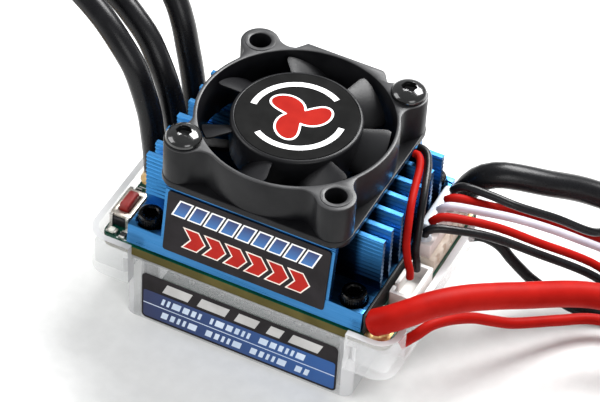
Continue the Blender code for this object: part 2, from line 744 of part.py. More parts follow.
SWITCH_RED_ROUTE = [
    (20.6, 4.1, 19.5), (20.7, 4.1, 20.2), (21.9, 4.9, 20.8), (24.4, 6.4, 20.2),
    (29.0, 9.5, 18.0), (33.9, 12.9, 14.5), (41.1, 18.2, 9.0), (47.5, 20.8, 4.0),
    (55.5, 22.6, 1.1), (63.0, 21.4, 0.75), (68.2, 15.8, 0.75), (70.4, 9.0, 0.75),
    (71.2, 2.8, 1.6), (71.3, -1.7, 2.4),
]  # fmt: skip

SWITCH_BLACK_ROUTE = [
    (20.6, 1.6, 19.5), (20.7, 1.6, 20.1), (21.7, 2.3, 20.6), (23.9, 3.7, 20.2),
    (28.6, 7.2, 18.0), (34.6, 11.7, 13.5), (41.7, 17.0, 7.8), (48.4, 19.6, 2.7),
    (55.6, 20.3, 0.9), (61.9, 19.0, 0.75), (66.2, 14.2, 0.75), (68.4, 8.2, 0.75),
    (69.0, 2.4, 1.6), (69.1, -1.7, 2.4),
]  # fmt: skip


def make_wire_block():
    low, high = (19.5, 0.3, BOARD_TOP + GAP), (22.3, 12.3, 19.2)
    box("wire_block", low, high, WHITE_PLASTIC, 0.3, 1)


def make_motor_leads():
    """Three thick wires, each with a gold bullet connector lying on the floor."""
    for number, route in enumerate(MOTOR_ROUTES, start=1):
        wire(f"motor_wire_{number}", route, MOTOR_WIRE, BLACK_SILICONE)
        x, start, height = route[-1]
        profile = [
            (0.0, 0.0),
            (2.2, -0.1),
            (2.3, -0.4),
            (2.3, -4.0),
            (2.05, -4.3),
            (2.05, -12.6),
            (1.75, -13.2),
            (0.0, -13.2),
        ]
        name = f"motor_bullet_{number}"
        bullet = turned(name, profile, (x, start - 0.3, height), GOLD, 16)
        bullet.rotation_euler = (-math.pi / 2, 0.0, 0.0)


def make_battery_leads():
    wire("battery_wire_red", BATTERY_RED_ROUTE, POWER_WIRE, RED_SILICONE)
    wire("battery_wire_black", BATTERY_BLACK_ROUTE, POWER_WIRE, BLACK_SILICONE)
    low, high = (75.2, -17.6, 0.2), (88.4, -2.0, 7.6)
    plug = box("battery_plug", low, high, RED_PLASTIC, 0.6)
    for name, route in (("red", BATTERY_RED_ROUTE), ("black", BATTERY_BLACK_ROUTE)):
        x, _, z = route[-1]
        socket = cylinder(f"plug_socket_{name}", (0, 0), 1.8, -4.0, 4.0, sides=16)
        socket.location = Vector((x, -16.0, z)) * MM
        socket.rotation_euler = (math.pi / 2, 0.0, 0.0)
        cut(plug, socket)


def make_capacitor_pack():
    wire("capacitor_wire_red", LINK_RED_ROUTE, LINK_WIRE, RED_SILICONE)
    wire("capacitor_wire_black", LINK_BLACK_ROUTE, LINK_WIRE, BLACK_SILICONE)
    low, high = (53.8, -12.0, 0.1), (65.0, 4.9, 8.6)
    box("capacitor_pack", low, high, BLACK_PLASTIC, 2.6, 3)


def make_receiver_lead():
    wire("signal_wire_black", SIGNAL_BLACK_ROUTE, LEAD_WIRE, BLACK_SILICONE)
    wire("signal_wire_red", SIGNAL_RED_ROUTE, LEAD_WIRE, RED_SILICONE)
    wire("signal_wire_white", SIGNAL_WHITE_ROUTE, LEAD_WIRE, WHITE_SILICONE)
    plug = box("receiver_plug", (82.6, 16.8, 0.1), (90.4, 29.1, 2.9), BLACK_PLASTIC)
    for number, x in enumerate((84.0, 86.5, 89.0), start=1):
        low, high = (x - 0.5, 16.0, 1.0), (x + 0.5, 23.0, 2.0)
        cut(plug, box(f"pin_hole_{number}", low, high))


def make_switch():
    """A slide switch on its own lead, with a slider that travels along Y."""
    wire("switch_wire_red", SWITCH_RED_ROUTE, LEAD_WIRE, RED_SILICONE)
    wire("switch_wire_black", SWITCH_BLACK_ROUTE, LEAD_WIRE, BLACK_SILICONE)
    body = box("switch_body", (67.0, -17.6, 0.1), (73.4, -2.0, 6.0), BLACK_PLASTIC)
    cut(body, box("slider_slot", (68.6, -13.6, 4.0), (71.8, -6.4, 9.0)))
    low, high = (68.8, -13.2, 4.2), (71.6, -9.0, 7.6)
    box("switch_slider", low, high, BLACK_PLASTIC, 0.2, 1)


make_case()
make_case_label()
make_power_board()
make_lower_board()
make_transistors()
make_thermal_pad()
make_button()
make_led()
make_heatsink()
make_heatsink_label()
make_heatsink_screws()
make_fan_frame()
make_impeller()
make_fan_inside()
make_hub_label()
make_fan_screws()
make_fan_lead()
make_wire_block()
make_motor_leads()
make_battery_leads()
make_capacitor_pack()
make_receiver_lead()
make_switch()
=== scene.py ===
"""The looks of a fan-cooled electronic speed controller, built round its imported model.

Lengths are in millimetres until they reach Blender, which works in metres.
"""

import math

import bmesh
import bpy
from mathutils import Matrix, Vector, noise


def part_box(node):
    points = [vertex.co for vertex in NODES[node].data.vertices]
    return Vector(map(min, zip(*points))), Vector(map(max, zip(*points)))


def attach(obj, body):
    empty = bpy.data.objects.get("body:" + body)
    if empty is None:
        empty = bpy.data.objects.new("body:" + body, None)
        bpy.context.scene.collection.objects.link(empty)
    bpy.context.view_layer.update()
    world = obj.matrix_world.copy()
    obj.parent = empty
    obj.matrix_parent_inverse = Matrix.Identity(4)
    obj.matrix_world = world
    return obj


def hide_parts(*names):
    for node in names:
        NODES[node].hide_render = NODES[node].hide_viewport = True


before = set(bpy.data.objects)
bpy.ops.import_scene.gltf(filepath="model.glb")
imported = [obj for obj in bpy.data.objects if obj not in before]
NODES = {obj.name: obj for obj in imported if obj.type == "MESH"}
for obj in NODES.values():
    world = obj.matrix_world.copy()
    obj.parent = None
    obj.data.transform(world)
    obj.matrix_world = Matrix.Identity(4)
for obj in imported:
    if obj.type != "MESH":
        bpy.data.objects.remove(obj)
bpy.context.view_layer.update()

MM = 0.001
SHARP = math.radians(38)
BODY = "controller"


def mm(node):
    """A CAD node's lowest and highest corner, in millimetres."""
    low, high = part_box(node)
    return Vector(low) / MM, Vector(high) / MM


# ---- Camera, light and floor -------------------------------------------------


AZIMUTH, ELEVATION, ROLL = 23.821, 44.219, 3.641
LENS, SENSOR, DISTANCE = 191.3, 36.0, 465.9
AIM, SHIFT_RIGHT, SHIFT_DOWN = (0, 0, 20), 1.057, 1.518
LIT_PLACE = (0.0, 0.0, 0.012)


def make_camera():
    """Looks down on the front from the left, from far off with a long lens."""
    azimuth, elevation, roll = map(math.radians, (AZIMUTH, ELEVATION, ROLL))
    level = math.cos(elevation)
    back = Vector((math.sin(azimuth) * level, -math.cos(azimuth) * level, math.sin(elevation)))
    right = Vector((math.cos(azimuth), math.sin(azimuth), 0.0))
    up = back.cross(right)
    side = right * math.cos(roll) + up * math.sin(roll)
    top = up * math.cos(roll) - right * math.sin(roll)
    lens = bpy.data.cameras.new("camera")
    lens.lens, lens.sensor_width = LENS, SENSOR
    lens.clip_start, lens.clip_end = 0.01, 20.0
    camera = bpy.data.objects.new("camera", lens)
    place = Vector(AIM) + back * DISTANCE + side * SHIFT_RIGHT - top * SHIFT_DOWN
    turn = Matrix((side, top, back)).transposed().to_4x4()
    camera.matrix_world = Matrix.Translation(place * MM) @ turn
    bpy.context.collection.objects.link(camera)
    bpy.context.scene.camera = camera
    bpy.context.scene.view_settings.view_transform = "Standard"


def area_light(name, place, size, watts):
    """A soft light that faces the object; places and sizes in metres."""
    data = bpy.data.lights.new(name, "AREA")
    data.shape = "RECTANGLE"
    data.size, data.size_y = size
    data.energy = watts
    light = bpy.data.objects.new(name, data)
    light.location = place
    aim = Vector(LIT_PLACE) - Vector(place)
    light.rotation_euler = aim.to_track_quat("-Z", "Y").to_euler()
    bpy.context.collection.objects.link(light)


def make_lights():
    world = bpy.data.worlds.new("studio")
    bpy.context.scene.world = world
    world.use_nodes = True
    sky = world.node_tree.nodes["Background"]
    sky.inputs["Color"].default_value = (0.96, 0.98, 1.0, 1.0)
    sky.inputs["Strength"].default_value = 0.45
    area_light("key", (0.10, 0.40, 0.46), (0.40, 0.30), 9.0)
    area_light("fill", (-0.50, -0.22, 0.36), (0.40, 0.40), 2.8)
    area_light("side", (0.40, -0.36, 0.30), (0.30, 0.30), 1.2)


def make_floor():
    form = bmesh.new()
    bmesh.ops.create_grid(form, x_segments=1, y_segments=1, size=4.0)
    look = Look("floor_paper")
    look.colour(look.noise(400.0), (0.77, 0.77, 0.76), (0.81, 0.81, 0.80), *BLOTCH)
    look.feed(look.shader, {"Roughness": 0.75, "Specular IOR Level": 0.2})
    floor = finish_form("floor", form, look.material)


# ---- Materials ---------------------------------------------------------------


class Look:
    """A procedural material, built up node by node."""

    def __init__(self, name):
        self.material = bpy.data.materials.new(name)
        self.material.use_nodes = True
        self.tree = self.material.node_tree
        self.shader = self.tree.nodes["Principled BSDF"]

    def feed(self, node, inputs):
        """Gives each input of a node its value, or the output that drives it."""
        for key, value in inputs.items():
            if isinstance(value, bpy.types.NodeSocket):
                self.tree.links.new(value, node.inputs[key])
            else:
                node.inputs[key].default_value = value

    def node(self, kind, inputs, operation=None):
        made = self.tree.nodes.new(f"ShaderNode{kind}")
        if operation:
            made.operation = operation
        self.feed(made, inputs)
        return made

    def place(self):
        """A point's place in the piece's own coordinates."""
        return self.node("TexCoord", {}).outputs["Object"]

    def noise(self, scale, detail=3.0, stretch=(1, 1, 1)):
        """Noise from 0 to 1; its scale is in grains per metre."""
        fit = self.node("Mapping", {"Vector": self.place(), "Scale": stretch})
        inputs = {"Vector": fit.outputs["Vector"], "Scale": scale, "Detail": detail}
        return self.node("TexNoise", inputs).outputs["Fac"]

    def ranged(self, value, start, end, low=0.0, high=1.0):
        """Maps a value's range onto another range."""
        inputs = {"Value": value, "From Min": start, "From Max": end, "To Min": low, "To Max": high}
        return self.node("MapRange", inputs).outputs["Result"]

    def along(self, axis, low, high):
        """How far a point lies from one place to another on an axis, in mm, as 0 to 1."""
        parts = self.node("SeparateXYZ", {"Vector": self.place()})
        return self.ranged(parts.outputs[axis], low * MM, high * MM)

    def colour(self, factor, first, second, low=0.0, high=1.0):
        """Runs the base colour from one tone to another as a factor rises."""
        ramp = self.node("ValToRGB", {"Fac": factor})
        for stop, place, tone in zip(ramp.color_ramp.elements, (low, high), (first, second)):
            stop.position, stop.color = place, (*tone, 1.0)
        self.feed(self.shader, {"Base Color": ramp.outputs["Color"]})

    def paint_fan_shade(self, axes, radius, share):
        """Paints the fan's shade: scales the base colour down near the fan's axis, measured along
        some axes.
        """
        flat = self.node("VectorMath", {0: self.place(), 1: axes}, "MULTIPLY")
        reach = self.node("VectorMath", {0: flat.outputs["Vector"]}, "LENGTH").outputs["Value"]
        shade = self.ranged(reach, (radius - 0.8) * MM, (radius + 0.2) * MM, share)
        tone = self.shader.inputs["Base Color"].links[0].from_socket
        scaled = self.node("VectorMath", {0: tone, "Scale": shade}, "SCALE")
        self.feed(self.shader, {"Base Color": scaled.outputs["Vector"]})

    def surface(self, grain, low, high, depth=0.0, strength=0.0, **values):
        """Takes roughness and bumps from one noise, and sets the other values."""
        inputs = {"Roughness": self.ranged(grain, 0.3, 0.7, low, high)}
        if depth:
            bump = self.node("Bump", {"Height": grain, "Distance": depth, "Strength": strength})
            inputs["Normal"] = bump.outputs["Normal"]
        for key, value in values.items():
            inputs[key.replace("_", " ").title().replace("Ior", "IOR")] = value
        self.feed(self.shader, inputs)
        return self.material


BLOTCH = (0.35, 0.65)


def plastic(name, dark, light, rough, grain=6000.0, depth=0.00002, **values):
    """Moulded plastic or rubber: faint blotches of colour and a fine grain."""
    look = Look(name)
    look.colour(look.noise(260.0), dark, light, *BLOTCH)
    fine = look.noise(grain, 2.0)
    return look.surface(fine, rough - 0.05, rough + 0.07, depth, 0.5, **values)


def ink(name, dark, light, rough=0.36, **values):
    """Print or film: plastic with hardly any grain."""
    return plastic(name, dark, light, rough, 12000.0, 0.000004, **values)


def metal(name, dark, light, rough, stretch=(1, 1, 1), grain=3000.0, shade=()):
    """Metal with a fine grain, drawn out along one axis where it is brushed."""
    look = Look(name)
    streak = look.noise(grain, 4.0, stretch)
    look.colour(streak, dark, light, *BLOTCH)
    # Painted shade from the fan over it, where a shade is given.
    if shade:
        look.paint_fan_shade(*shade)
    return look.surface(streak, rough - 0.06, rough + 0.08, 0.00001, 0.4, metallic=1.0)


def metal_with_painted_shade(name, low, high, deep, bright, open_end, shade):
    """Blue metal with painted shade, darker down between its fins and under the fan, and painted
    light towards its open end.
    """
    look = Look(name)
    ends = {0: look.along("Z", low, high), 1: look.along("X", open_end, open_end - 2.0)}
    look.colour(look.node("Math", ends, "MAXIMUM").outputs["Value"], deep, bright)
    look.paint_fan_shade(*shade)
    return look.surface(look.noise(3000.0, 4.0, BRUSHED), 0.26, 0.40, metallic=1.0)


def graded_ink(name, axis, low, high, first, second):
    """Ink that runs from one colour to another along an axis, between two places in mm."""
    look = Look(name)
    look.colour(look.along(axis, low, high), first, second)
    return look.surface(look.noise(9000.0, 2.0), 0.3, 0.42)


def clear_plastic(name, left, right, rough, **values):
    """Clear or milky plastic, faintly uneven; its tint may run from left to right, which on the
    case is painted shade on the left and painted light on the right.
    """
    look = Look(name)
    look.colour(look.along("X", -24.0, 24.0), left, right)
    wave = look.noise(160.0, 2.0)
    return look.surface(wave, rough, rough + 0.08, 0.00006, 0.35, **values)


BRUSHED = (0.04, 1, 1)
SILICONE_BLACK = plastic(
    "silicone_black", (0.003, 0.003, 0.004), (0.007, 0.007, 0.008), 0.30,
    specular_ior_level=0.22,
)
SILICONE_RED = plastic(
    "silicone_red", (0.285, 0.005, 0.003), (0.34, 0.008, 0.005), 0.46, specular_ior_level=0.05
)
SILICONE_WHITE = plastic("silicone_white", (0.46, 0.43, 0.50), (0.55, 0.52, 0.59), 0.40)
FAN_PLASTIC = plastic(
    "fan_plastic", (0.003, 0.003, 0.004), (0.008, 0.008, 0.009), 0.36, grain=7000.0,
    depth=0.00003, specular_ior_level=0.20,
)
# A lighter copy of the fan plastic for its top faces: painted highlight where the light falls on
# them.
FAN_TOP_HIGHLIGHT = plastic("fan_plastic_painted_highlight", (0.010, 0.010, 0.011), (0.022, 0.022, 0.024), 0.44)
BLADE_PLASTIC = plastic(
    "blade_plastic", (0.004, 0.004, 0.005), (0.008, 0.008, 0.009), 0.38, grain=7000.0,
    depth=0.00003, specular_ior_level=0.25,
)
DARK_PLASTIC = plastic("dark_plastic", (0.008, 0.008, 0.009), (0.016, 0.016, 0.018), 0.4)
CHIP_PLASTIC = plastic("chip_plastic_dark", (0.012, 0.012, 0.013), (0.03, 0.03, 0.03), 0.55)
DARK_STRIP = plastic("dark_strip_finish", (0.004, 0.004, 0.004), (0.010, 0.010, 0.010), 0.6)
SHRINK_BLACK = plastic(
    "shrink_sleeve", (0.006, 0.006, 0.007), (0.012, 0.012, 0.013), 0.3, grain=1500.0
)
WHITE_PLASTIC = plastic("white_nylon", (0.62, 0.60, 0.57), (0.74, 0.72, 0.70), 0.38)
PINKISH_PLASTIC = plastic("pinkish_nylon", (0.60, 0.52, 0.49), (0.74, 0.66, 0.63), 0.42)
BEIGE_PLASTIC = plastic("beige_nylon", (0.62, 0.52, 0.42), (0.80, 0.72, 0.62), 0.45)
RED_PLASTIC = plastic("red_nylon", (0.40, 0.012, 0.010), (0.52, 0.02, 0.014), 0.38)
RED_CAP = plastic("red_cap", (0.14, 0.004, 0.003), (0.25, 0.009, 0.006), 0.34, grain=2600.0)
LABEL_FILM = ink(
    "label_film", (0.018, 0.016, 0.017), (0.026, 0.023, 0.025), 0.50, specular_ior_level=0.06
)
HUB_FILM = ink(
    "hub_film", (0.008, 0.008, 0.008), (0.012, 0.012, 0.012), 0.62, specular_ior_level=0.01
)
PRINT_WHITE = ink("print_white", (0.84, 0.84, 0.84), (0.93, 0.93, 0.93))
PRINT_PALE = ink("print_pale", (0.78, 0.66, 0.58), (0.90, 0.82, 0.74))
PRINT_PALE_BLUE = ink("print_pale_blue", (0.52, 0.62, 0.76), (0.66, 0.74, 0.86))
PRINT_RED = ink(
    "print_red", (0.36, 0.012, 0.008), (0.43, 0.018, 0.011), specular_ior_level=0.1
)
HUB_RED = ink(
    "hub_red", (0.25, 0.009, 0.006), (0.30, 0.013, 0.008), 0.5, specular_ior_level=0.03
)
PRINT_SILVER = ink("print_silver", (0.44, 0.43, 0.42), (0.54, 0.53, 0.52))
PRINT_BLUE = graded_ink(
    "print_blue", "Z", 22.4, 25.1, (0.022, 0.15, 0.42), (0.006, 0.014, 0.10)
)
PRINT_BAND = graded_ink(
    "print_band", "X", -16.0, 13.0, (0.006, 0.014, 0.075), (0.008, 0.075, 0.27)
)
MASK_GREEN = plastic("mask_green", (0.0, 0.055, 0.032), (0.002, 0.095, 0.052), 0.3)
BOARD_EDGE = plastic(
    "board_edge", (0.062, 0.050, 0.008), (0.095, 0.075, 0.016), 0.6, specular_ior_level=0.2
)
PAD_GREY = plastic("pad_grey", (0.32, 0.34, 0.37), (0.42, 0.44, 0.47), 0.8)
MAGNET = plastic("magnet_rubber_dark", (0.03, 0.028, 0.028), (0.06, 0.055, 0.05), 0.7)
# The plate's blue, darkened near the fan's axis: painted shade from the fan.
BLUE_METAL = metal(
    "anodised_metal", (0.033, 0.152, 0.34), (0.049, 0.184, 0.40), 0.32, BRUSHED,
    shade=((1, 1, 0), 14.6, 0.25),
)
# The fins' sides: painted shade, darker low down and under the fan, with painted light at their
# tops and towards the open left end.
BLUE_SHADE = metal_with_painted_shade(
    "anodised_fins_painted_shade", 20.0, 26.6, (0.006, 0.022, 0.058), (0.070, 0.33, 0.74), -13.4,
    shade=((1, 0, 0), 15.6, 0.12),
)
BLACK_STEEL = metal("black_oxide", (0.008, 0.008, 0.008), (0.022, 0.021, 0.020), 0.26)
STEEL = metal("bright_steel_turned", (0.55, 0.55, 0.54), (0.78, 0.78, 0.76), 0.26)
TIN = metal("tinned_copper", (0.60, 0.58, 0.54), (0.80, 0.78, 0.74), 0.30, grain=1800.0)
TIN_TAN = metal("bare_pads", (0.60, 0.38, 0.14), (0.78, 0.56, 0.28), 0.42, grain=1500.0)
BUTTON_METAL = metal("button_metal", (0.50, 0.46, 0.40), (0.66, 0.61, 0.54), 0.40)
GOLD = metal("gold_plate", (0.72, 0.46, 0.14), (0.88, 0.62, 0.25), 0.24)
BRONZE = metal("sintered_bronze_dull", (0.34, 0.22, 0.09), (0.52, 0.36, 0.16), 0.45)
COPPER = metal("enamelled_copper", (0.38, 0.13, 0.04), (0.60, 0.24, 0.08), 0.32)
BLACK_GLOSS = plastic(
    "black_gloss", (0.003, 0.003, 0.003), (0.008, 0.008, 0.008), 0.16, grain=4000.0,
    depth=0.000004, coat_weight=0.5, coat_roughness=0.08,
)
LED_LENS = plastic("led_lens_pale", (0.70, 0.70, 0.62), (0.84, 0.84, 0.78), 0.3)
MILKY_PLASTIC = clear_plastic(
    "milky_glue", (0.86, 0.90, 0.94), (0.74, 0.79, 0.84), 0.16, transmission_weight=0.35, ior=1.45
)
# The case: grey on the left and white on the right, painted shade and painted light.
CLEAR = clear_plastic(
    "clear_case_plastic", (0.62, 0.63, 0.63), (0.97, 0.97, 0.98), 0.05, alpha=0.24
)
# Painted highlight on the rim's top faces, the ends of its openings and the box's corners.
CLEAR_LIP_HIGHLIGHT = clear_plastic(
    "clear_case_lip_highlight", (0.50, 0.50, 0.51), (0.72, 0.72, 0.73), 0.12, alpha=0.80
)
# Painted highlight along the bottom edges.
CLEAR_EDGE_HIGHLIGHT = clear_plastic(
    "clear_case_edge_highlight", (0.90, 0.90, 0.90), (0.96, 0.96, 0.96), 0.20, alpha=0.92
)
# Painted dark reflection along the bevels.
CLEAR_DARK_REFLECTION = clear_plastic(
    "clear_case_dark_reflection", (0.24, 0.25, 0.26), (0.34, 0.35, 0.36), 0.10, alpha=0.50
)


# ---- Making pieces -----------------------------------------------------------


def finish_form(name, form, *materials):
    """Turns a bmesh in metres into a linked object with these materials."""
    mesh = bpy.data.meshes.new(name)
    form.to_mesh(mesh)
    form.free()
    made = bpy.data.objects.new(name, mesh)
    bpy.context.collection.objects.link(made)
    for entry in materials:
        mesh.materials.append(entry)
    return made


def add_piece(name, form, slot, *materials, body=BODY, stands_for=(), bevel=0.0, edge=-1):
    """Links a piece that rides on a body; a bevel rounds its sharp edges in two steps."""
    if bevel:
        rough = finish_form("rough", form, *materials)
        rounding = rough.modifiers.new("rounding", "BEVEL")
        rounding.width = bevel * MM
        rounding.segments = 2
        rounding.limit_method = "ANGLE"
        rounding.angle_limit = SHARP
        rounding.material = edge
        form = evaluated_form(rough)
    made = finish_form(name, form, *materials)
    made.data.shade_smooth()
    made.data.set_sharp_from_angle(angle=math.radians(27))
    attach(made, body)
    if stands_for:
        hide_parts(*stands_for)
    return made


def add_prints(label, place, prints, body=BODY):
    """Flat marks on a label, each with its name, outlines, back, front and ink."""
    for name, outlines, back, front, shade in prints:
        form = placed(flat_solid(outlines, back, front), place)
        add_piece(f"{label}_{name}", form, "printed_label", shade, body=body)


def evaluated_form(thing):
    """The bmesh of an object with its modifiers applied; the object is removed."""
    bpy.context.view_layer.update()
    depsgraph = bpy.context.evaluated_depsgraph_get()
    mesh = bpy.data.meshes.new_from_object(thing.evaluated_get(depsgraph))
    form = bmesh.new()
    form.from_mesh(mesh)
    bpy.data.objects.remove(thing, do_unlink=True)
    bpy.data.meshes.remove(mesh)
    return form


def boolean_form(operation, target, tools, solver="EXACT"):
    """A bmesh cut by others or joined to them; these mustn't overlap each other."""
    first, second = finish_form("target", target), finish_form("tool", gathered(tools))
    boolean = first.modifiers.new("joining", "BOOLEAN")
    boolean.object = second
    boolean.operation = operation
    boolean.solver = solver
    form = evaluated_form(first)
    bpy.data.objects.remove(second, do_unlink=True)
    return form


def cut(target, *tools):
    return boolean_form("DIFFERENCE", target, tools)


def united(target, *tools):
    return boolean_form("UNION", target, tools)


def in_turn(operation, target, *tools):
    """A bmesh cut by several others in turn, or joined to them; these may overlap."""
    for tool in tools:
        target = boolean_form(operation, target, [tool], "MANIFOLD")
    return target


def sunk(target, outlines, low, high):
    """A bmesh with flat outlines cut out of it between two heights."""
    return cut(target, flat_solid(outlines, low, high))


def flat_solid(outlines, low, high):
    """Flat outlines in X and Y made thick along Z; an outline inside another is a hole."""
    curve = bpy.data.curves.new("outline", "CURVE")
    curve.dimensions = "2D"
    curve.fill_mode = "BOTH"
    curve.extrude = (high - low) / 2 * MM
    for outline in outlines:
        spline = curve.splines.new("POLY")
        spline.points.add(len(outline) - 1)
        for point, (x, y) in zip(spline.points, outline):
            point.co = (x * MM, y * MM, 0.0, 1.0)
        spline.use_cyclic_u = True
    guide = bpy.data.objects.new("outline", curve)
    bpy.context.collection.objects.link(guide)
    form = evaluated_form(guide)
    bpy.data.curves.remove(curve)
    bmesh.ops.remove_doubles(form, verts=form.verts, dist=0.0000005)
    bmesh.ops.recalc_face_normals(form, faces=form.faces)
    bmesh.ops.translate(form, verts=form.verts, vec=(0, 0, (low + high) / 2 * MM))
    return form


def block(corner, opposite):
    """A box between two opposite corners, the start of a cut or of a small part."""
    low, high = (tuple(map(pick, corner, opposite)) for pick in (min, max))
    form = bmesh.new()
    bmesh.ops.create_cube(form, size=1.0)
    bmesh.ops.scale(form, vec=(Vector(high) - Vector(low)) * MM, verts=form.verts)
    middle = (Vector(low) + Vector(high)) / 2 * MM
    bmesh.ops.translate(form, verts=form.verts, vec=middle)
    return form


def bevelled(form, edges, width, steps=2):
    bmesh.ops.bevel(
        form, geom=edges, offset=width * MM, segments=steps, profile=0.5, affect="EDGES"
    )
    return form


def slab(x, y, wide, deep, low, high):
    """A box round a place in X and Y, between two heights."""
    return block((x - wide / 2, y - deep / 2, low), (x + wide / 2, y + deep / 2, high))


def softened(form, width, steps=2):
    """Rounds every sharp edge of a bmesh."""
    edges = [edge for edge in form.edges if edge.calc_face_angle(0.0) > SHARP]
    return bevelled(form, edges, width, steps)


def gathered(forms):
    """Several bmeshes put together in one, each still a body of its own."""
    whole = bmesh.new()
    for form in forms:
        mesh = bpy.data.meshes.new("gathered")
        form.to_mesh(mesh)
        form.free()
        whole.from_mesh(mesh)
        bpy.data.meshes.remove(mesh)
    return whole


def placed(form, matrix):
    bmesh.ops.transform(form, matrix=matrix, verts=form.verts)
    return form


def moved(form, x, y, z):
    return placed(form, Matrix.Translation(Vector((x, y, z)) * MM))


def painted(form, number):
    for face in form.faces:
        face.material_index = number
    return form


def loft(rings):
    """Skins closed rings of points one after another, with flat ends."""
    form = bmesh.new()
    rows = [[form.verts.new(Vector(point) * MM) for point in ring] for ring in rings]
    for lower, upper in zip(rows, rows[1:]):
        for i in range(len(lower)):
            after = (i + 1) % len(lower)
            form.faces.new((lower[i], lower[after], upper[after], upper[i]))
    form.faces.new(list(reversed(rows[0])))
    form.faces.new(rows[-1])
    bmesh.ops.recalc_face_normals(form, faces=form.faces)
    return form


def lathe(profile, sides=48):
    """A body turned about Z from (radius, height) points; radius 0 isn't needed."""
    return loft([[(*point, z) for point in circle(0, 0, r, sides)] for r, z in profile])


def polar(radius, turn, x=0.0, y=0.0):
    """The point at this distance from a centre, at an angle in radians."""
    return x + radius * math.cos(turn), y + radius * math.sin(turn)


def turns(count):
    """Equally spaced angles once round, in radians."""
    return [2 * math.pi * i / count for i in range(count)]


def circle(x, y, radius, sides=48, start=0.0):
    return [polar(radius, math.radians(start) + turn, x, y) for turn in turns(sides)]


def arc(x, y, radius, start, end, steps):
    """Points on an arc, from one angle in degrees to another."""
    degrees = (start + (end - start) * i / steps for i in range(steps + 1))
    return [polar(radius, math.radians(turn), x, y) for turn in degrees]


def rounded_rectangle(left, right, front, back, radius, steps=6):
    return [
        *arc(right - radius, back - radius, radius, 0, 90, steps),
        *arc(left + radius, back - radius, radius, 90, 180, steps),
        *arc(left + radius, front + radius, radius, 180, 270, steps),
        *arc(right - radius, front + radius, radius, 270, 360, steps),
    ]


def inset_rectangle(left, right, front, back, by, radius, steps=6):
    """A rounded rectangle that lies inside these edges by a margin."""
    return rounded_rectangle(left + by, right - by, front + by, back - by, radius, steps)


def rectangle(left, right, front, back):
    return [(left, front), (right, front), (right, back), (left, back)]


def grown(outline, by):
    """A counter-clockwise outline with every edge moved outwards."""
    points = [Vector(point) for point in outline]
    result = []
    for here, before, after in zip(points, points[-1:] + points, points[1:] + points[:1]):
        first, second = (here - before).normalized(), (after - here).normalized()
        out = Vector((first.y + second.y, -first.x - second.x))
        result.append(tuple(here + out * 2 * by / out.length_squared))
    return result


# Turns flat work so that it stands across X, with its thickness along X.
ALONG_X = Matrix(((0, 0, 1), (1, 0, 0), (0, 1, 0))).to_4x4()


def standing(x=0.0, y=0.0, z=0.0):
    """Turns flat work so that its Y points up and its face looks to the front."""
    return Matrix.Translation(Vector((x, y, z)) * MM) @ Matrix.Rotation(math.pi / 2, 4, "X")


# ---- Free cords --------------------------------------------------------------

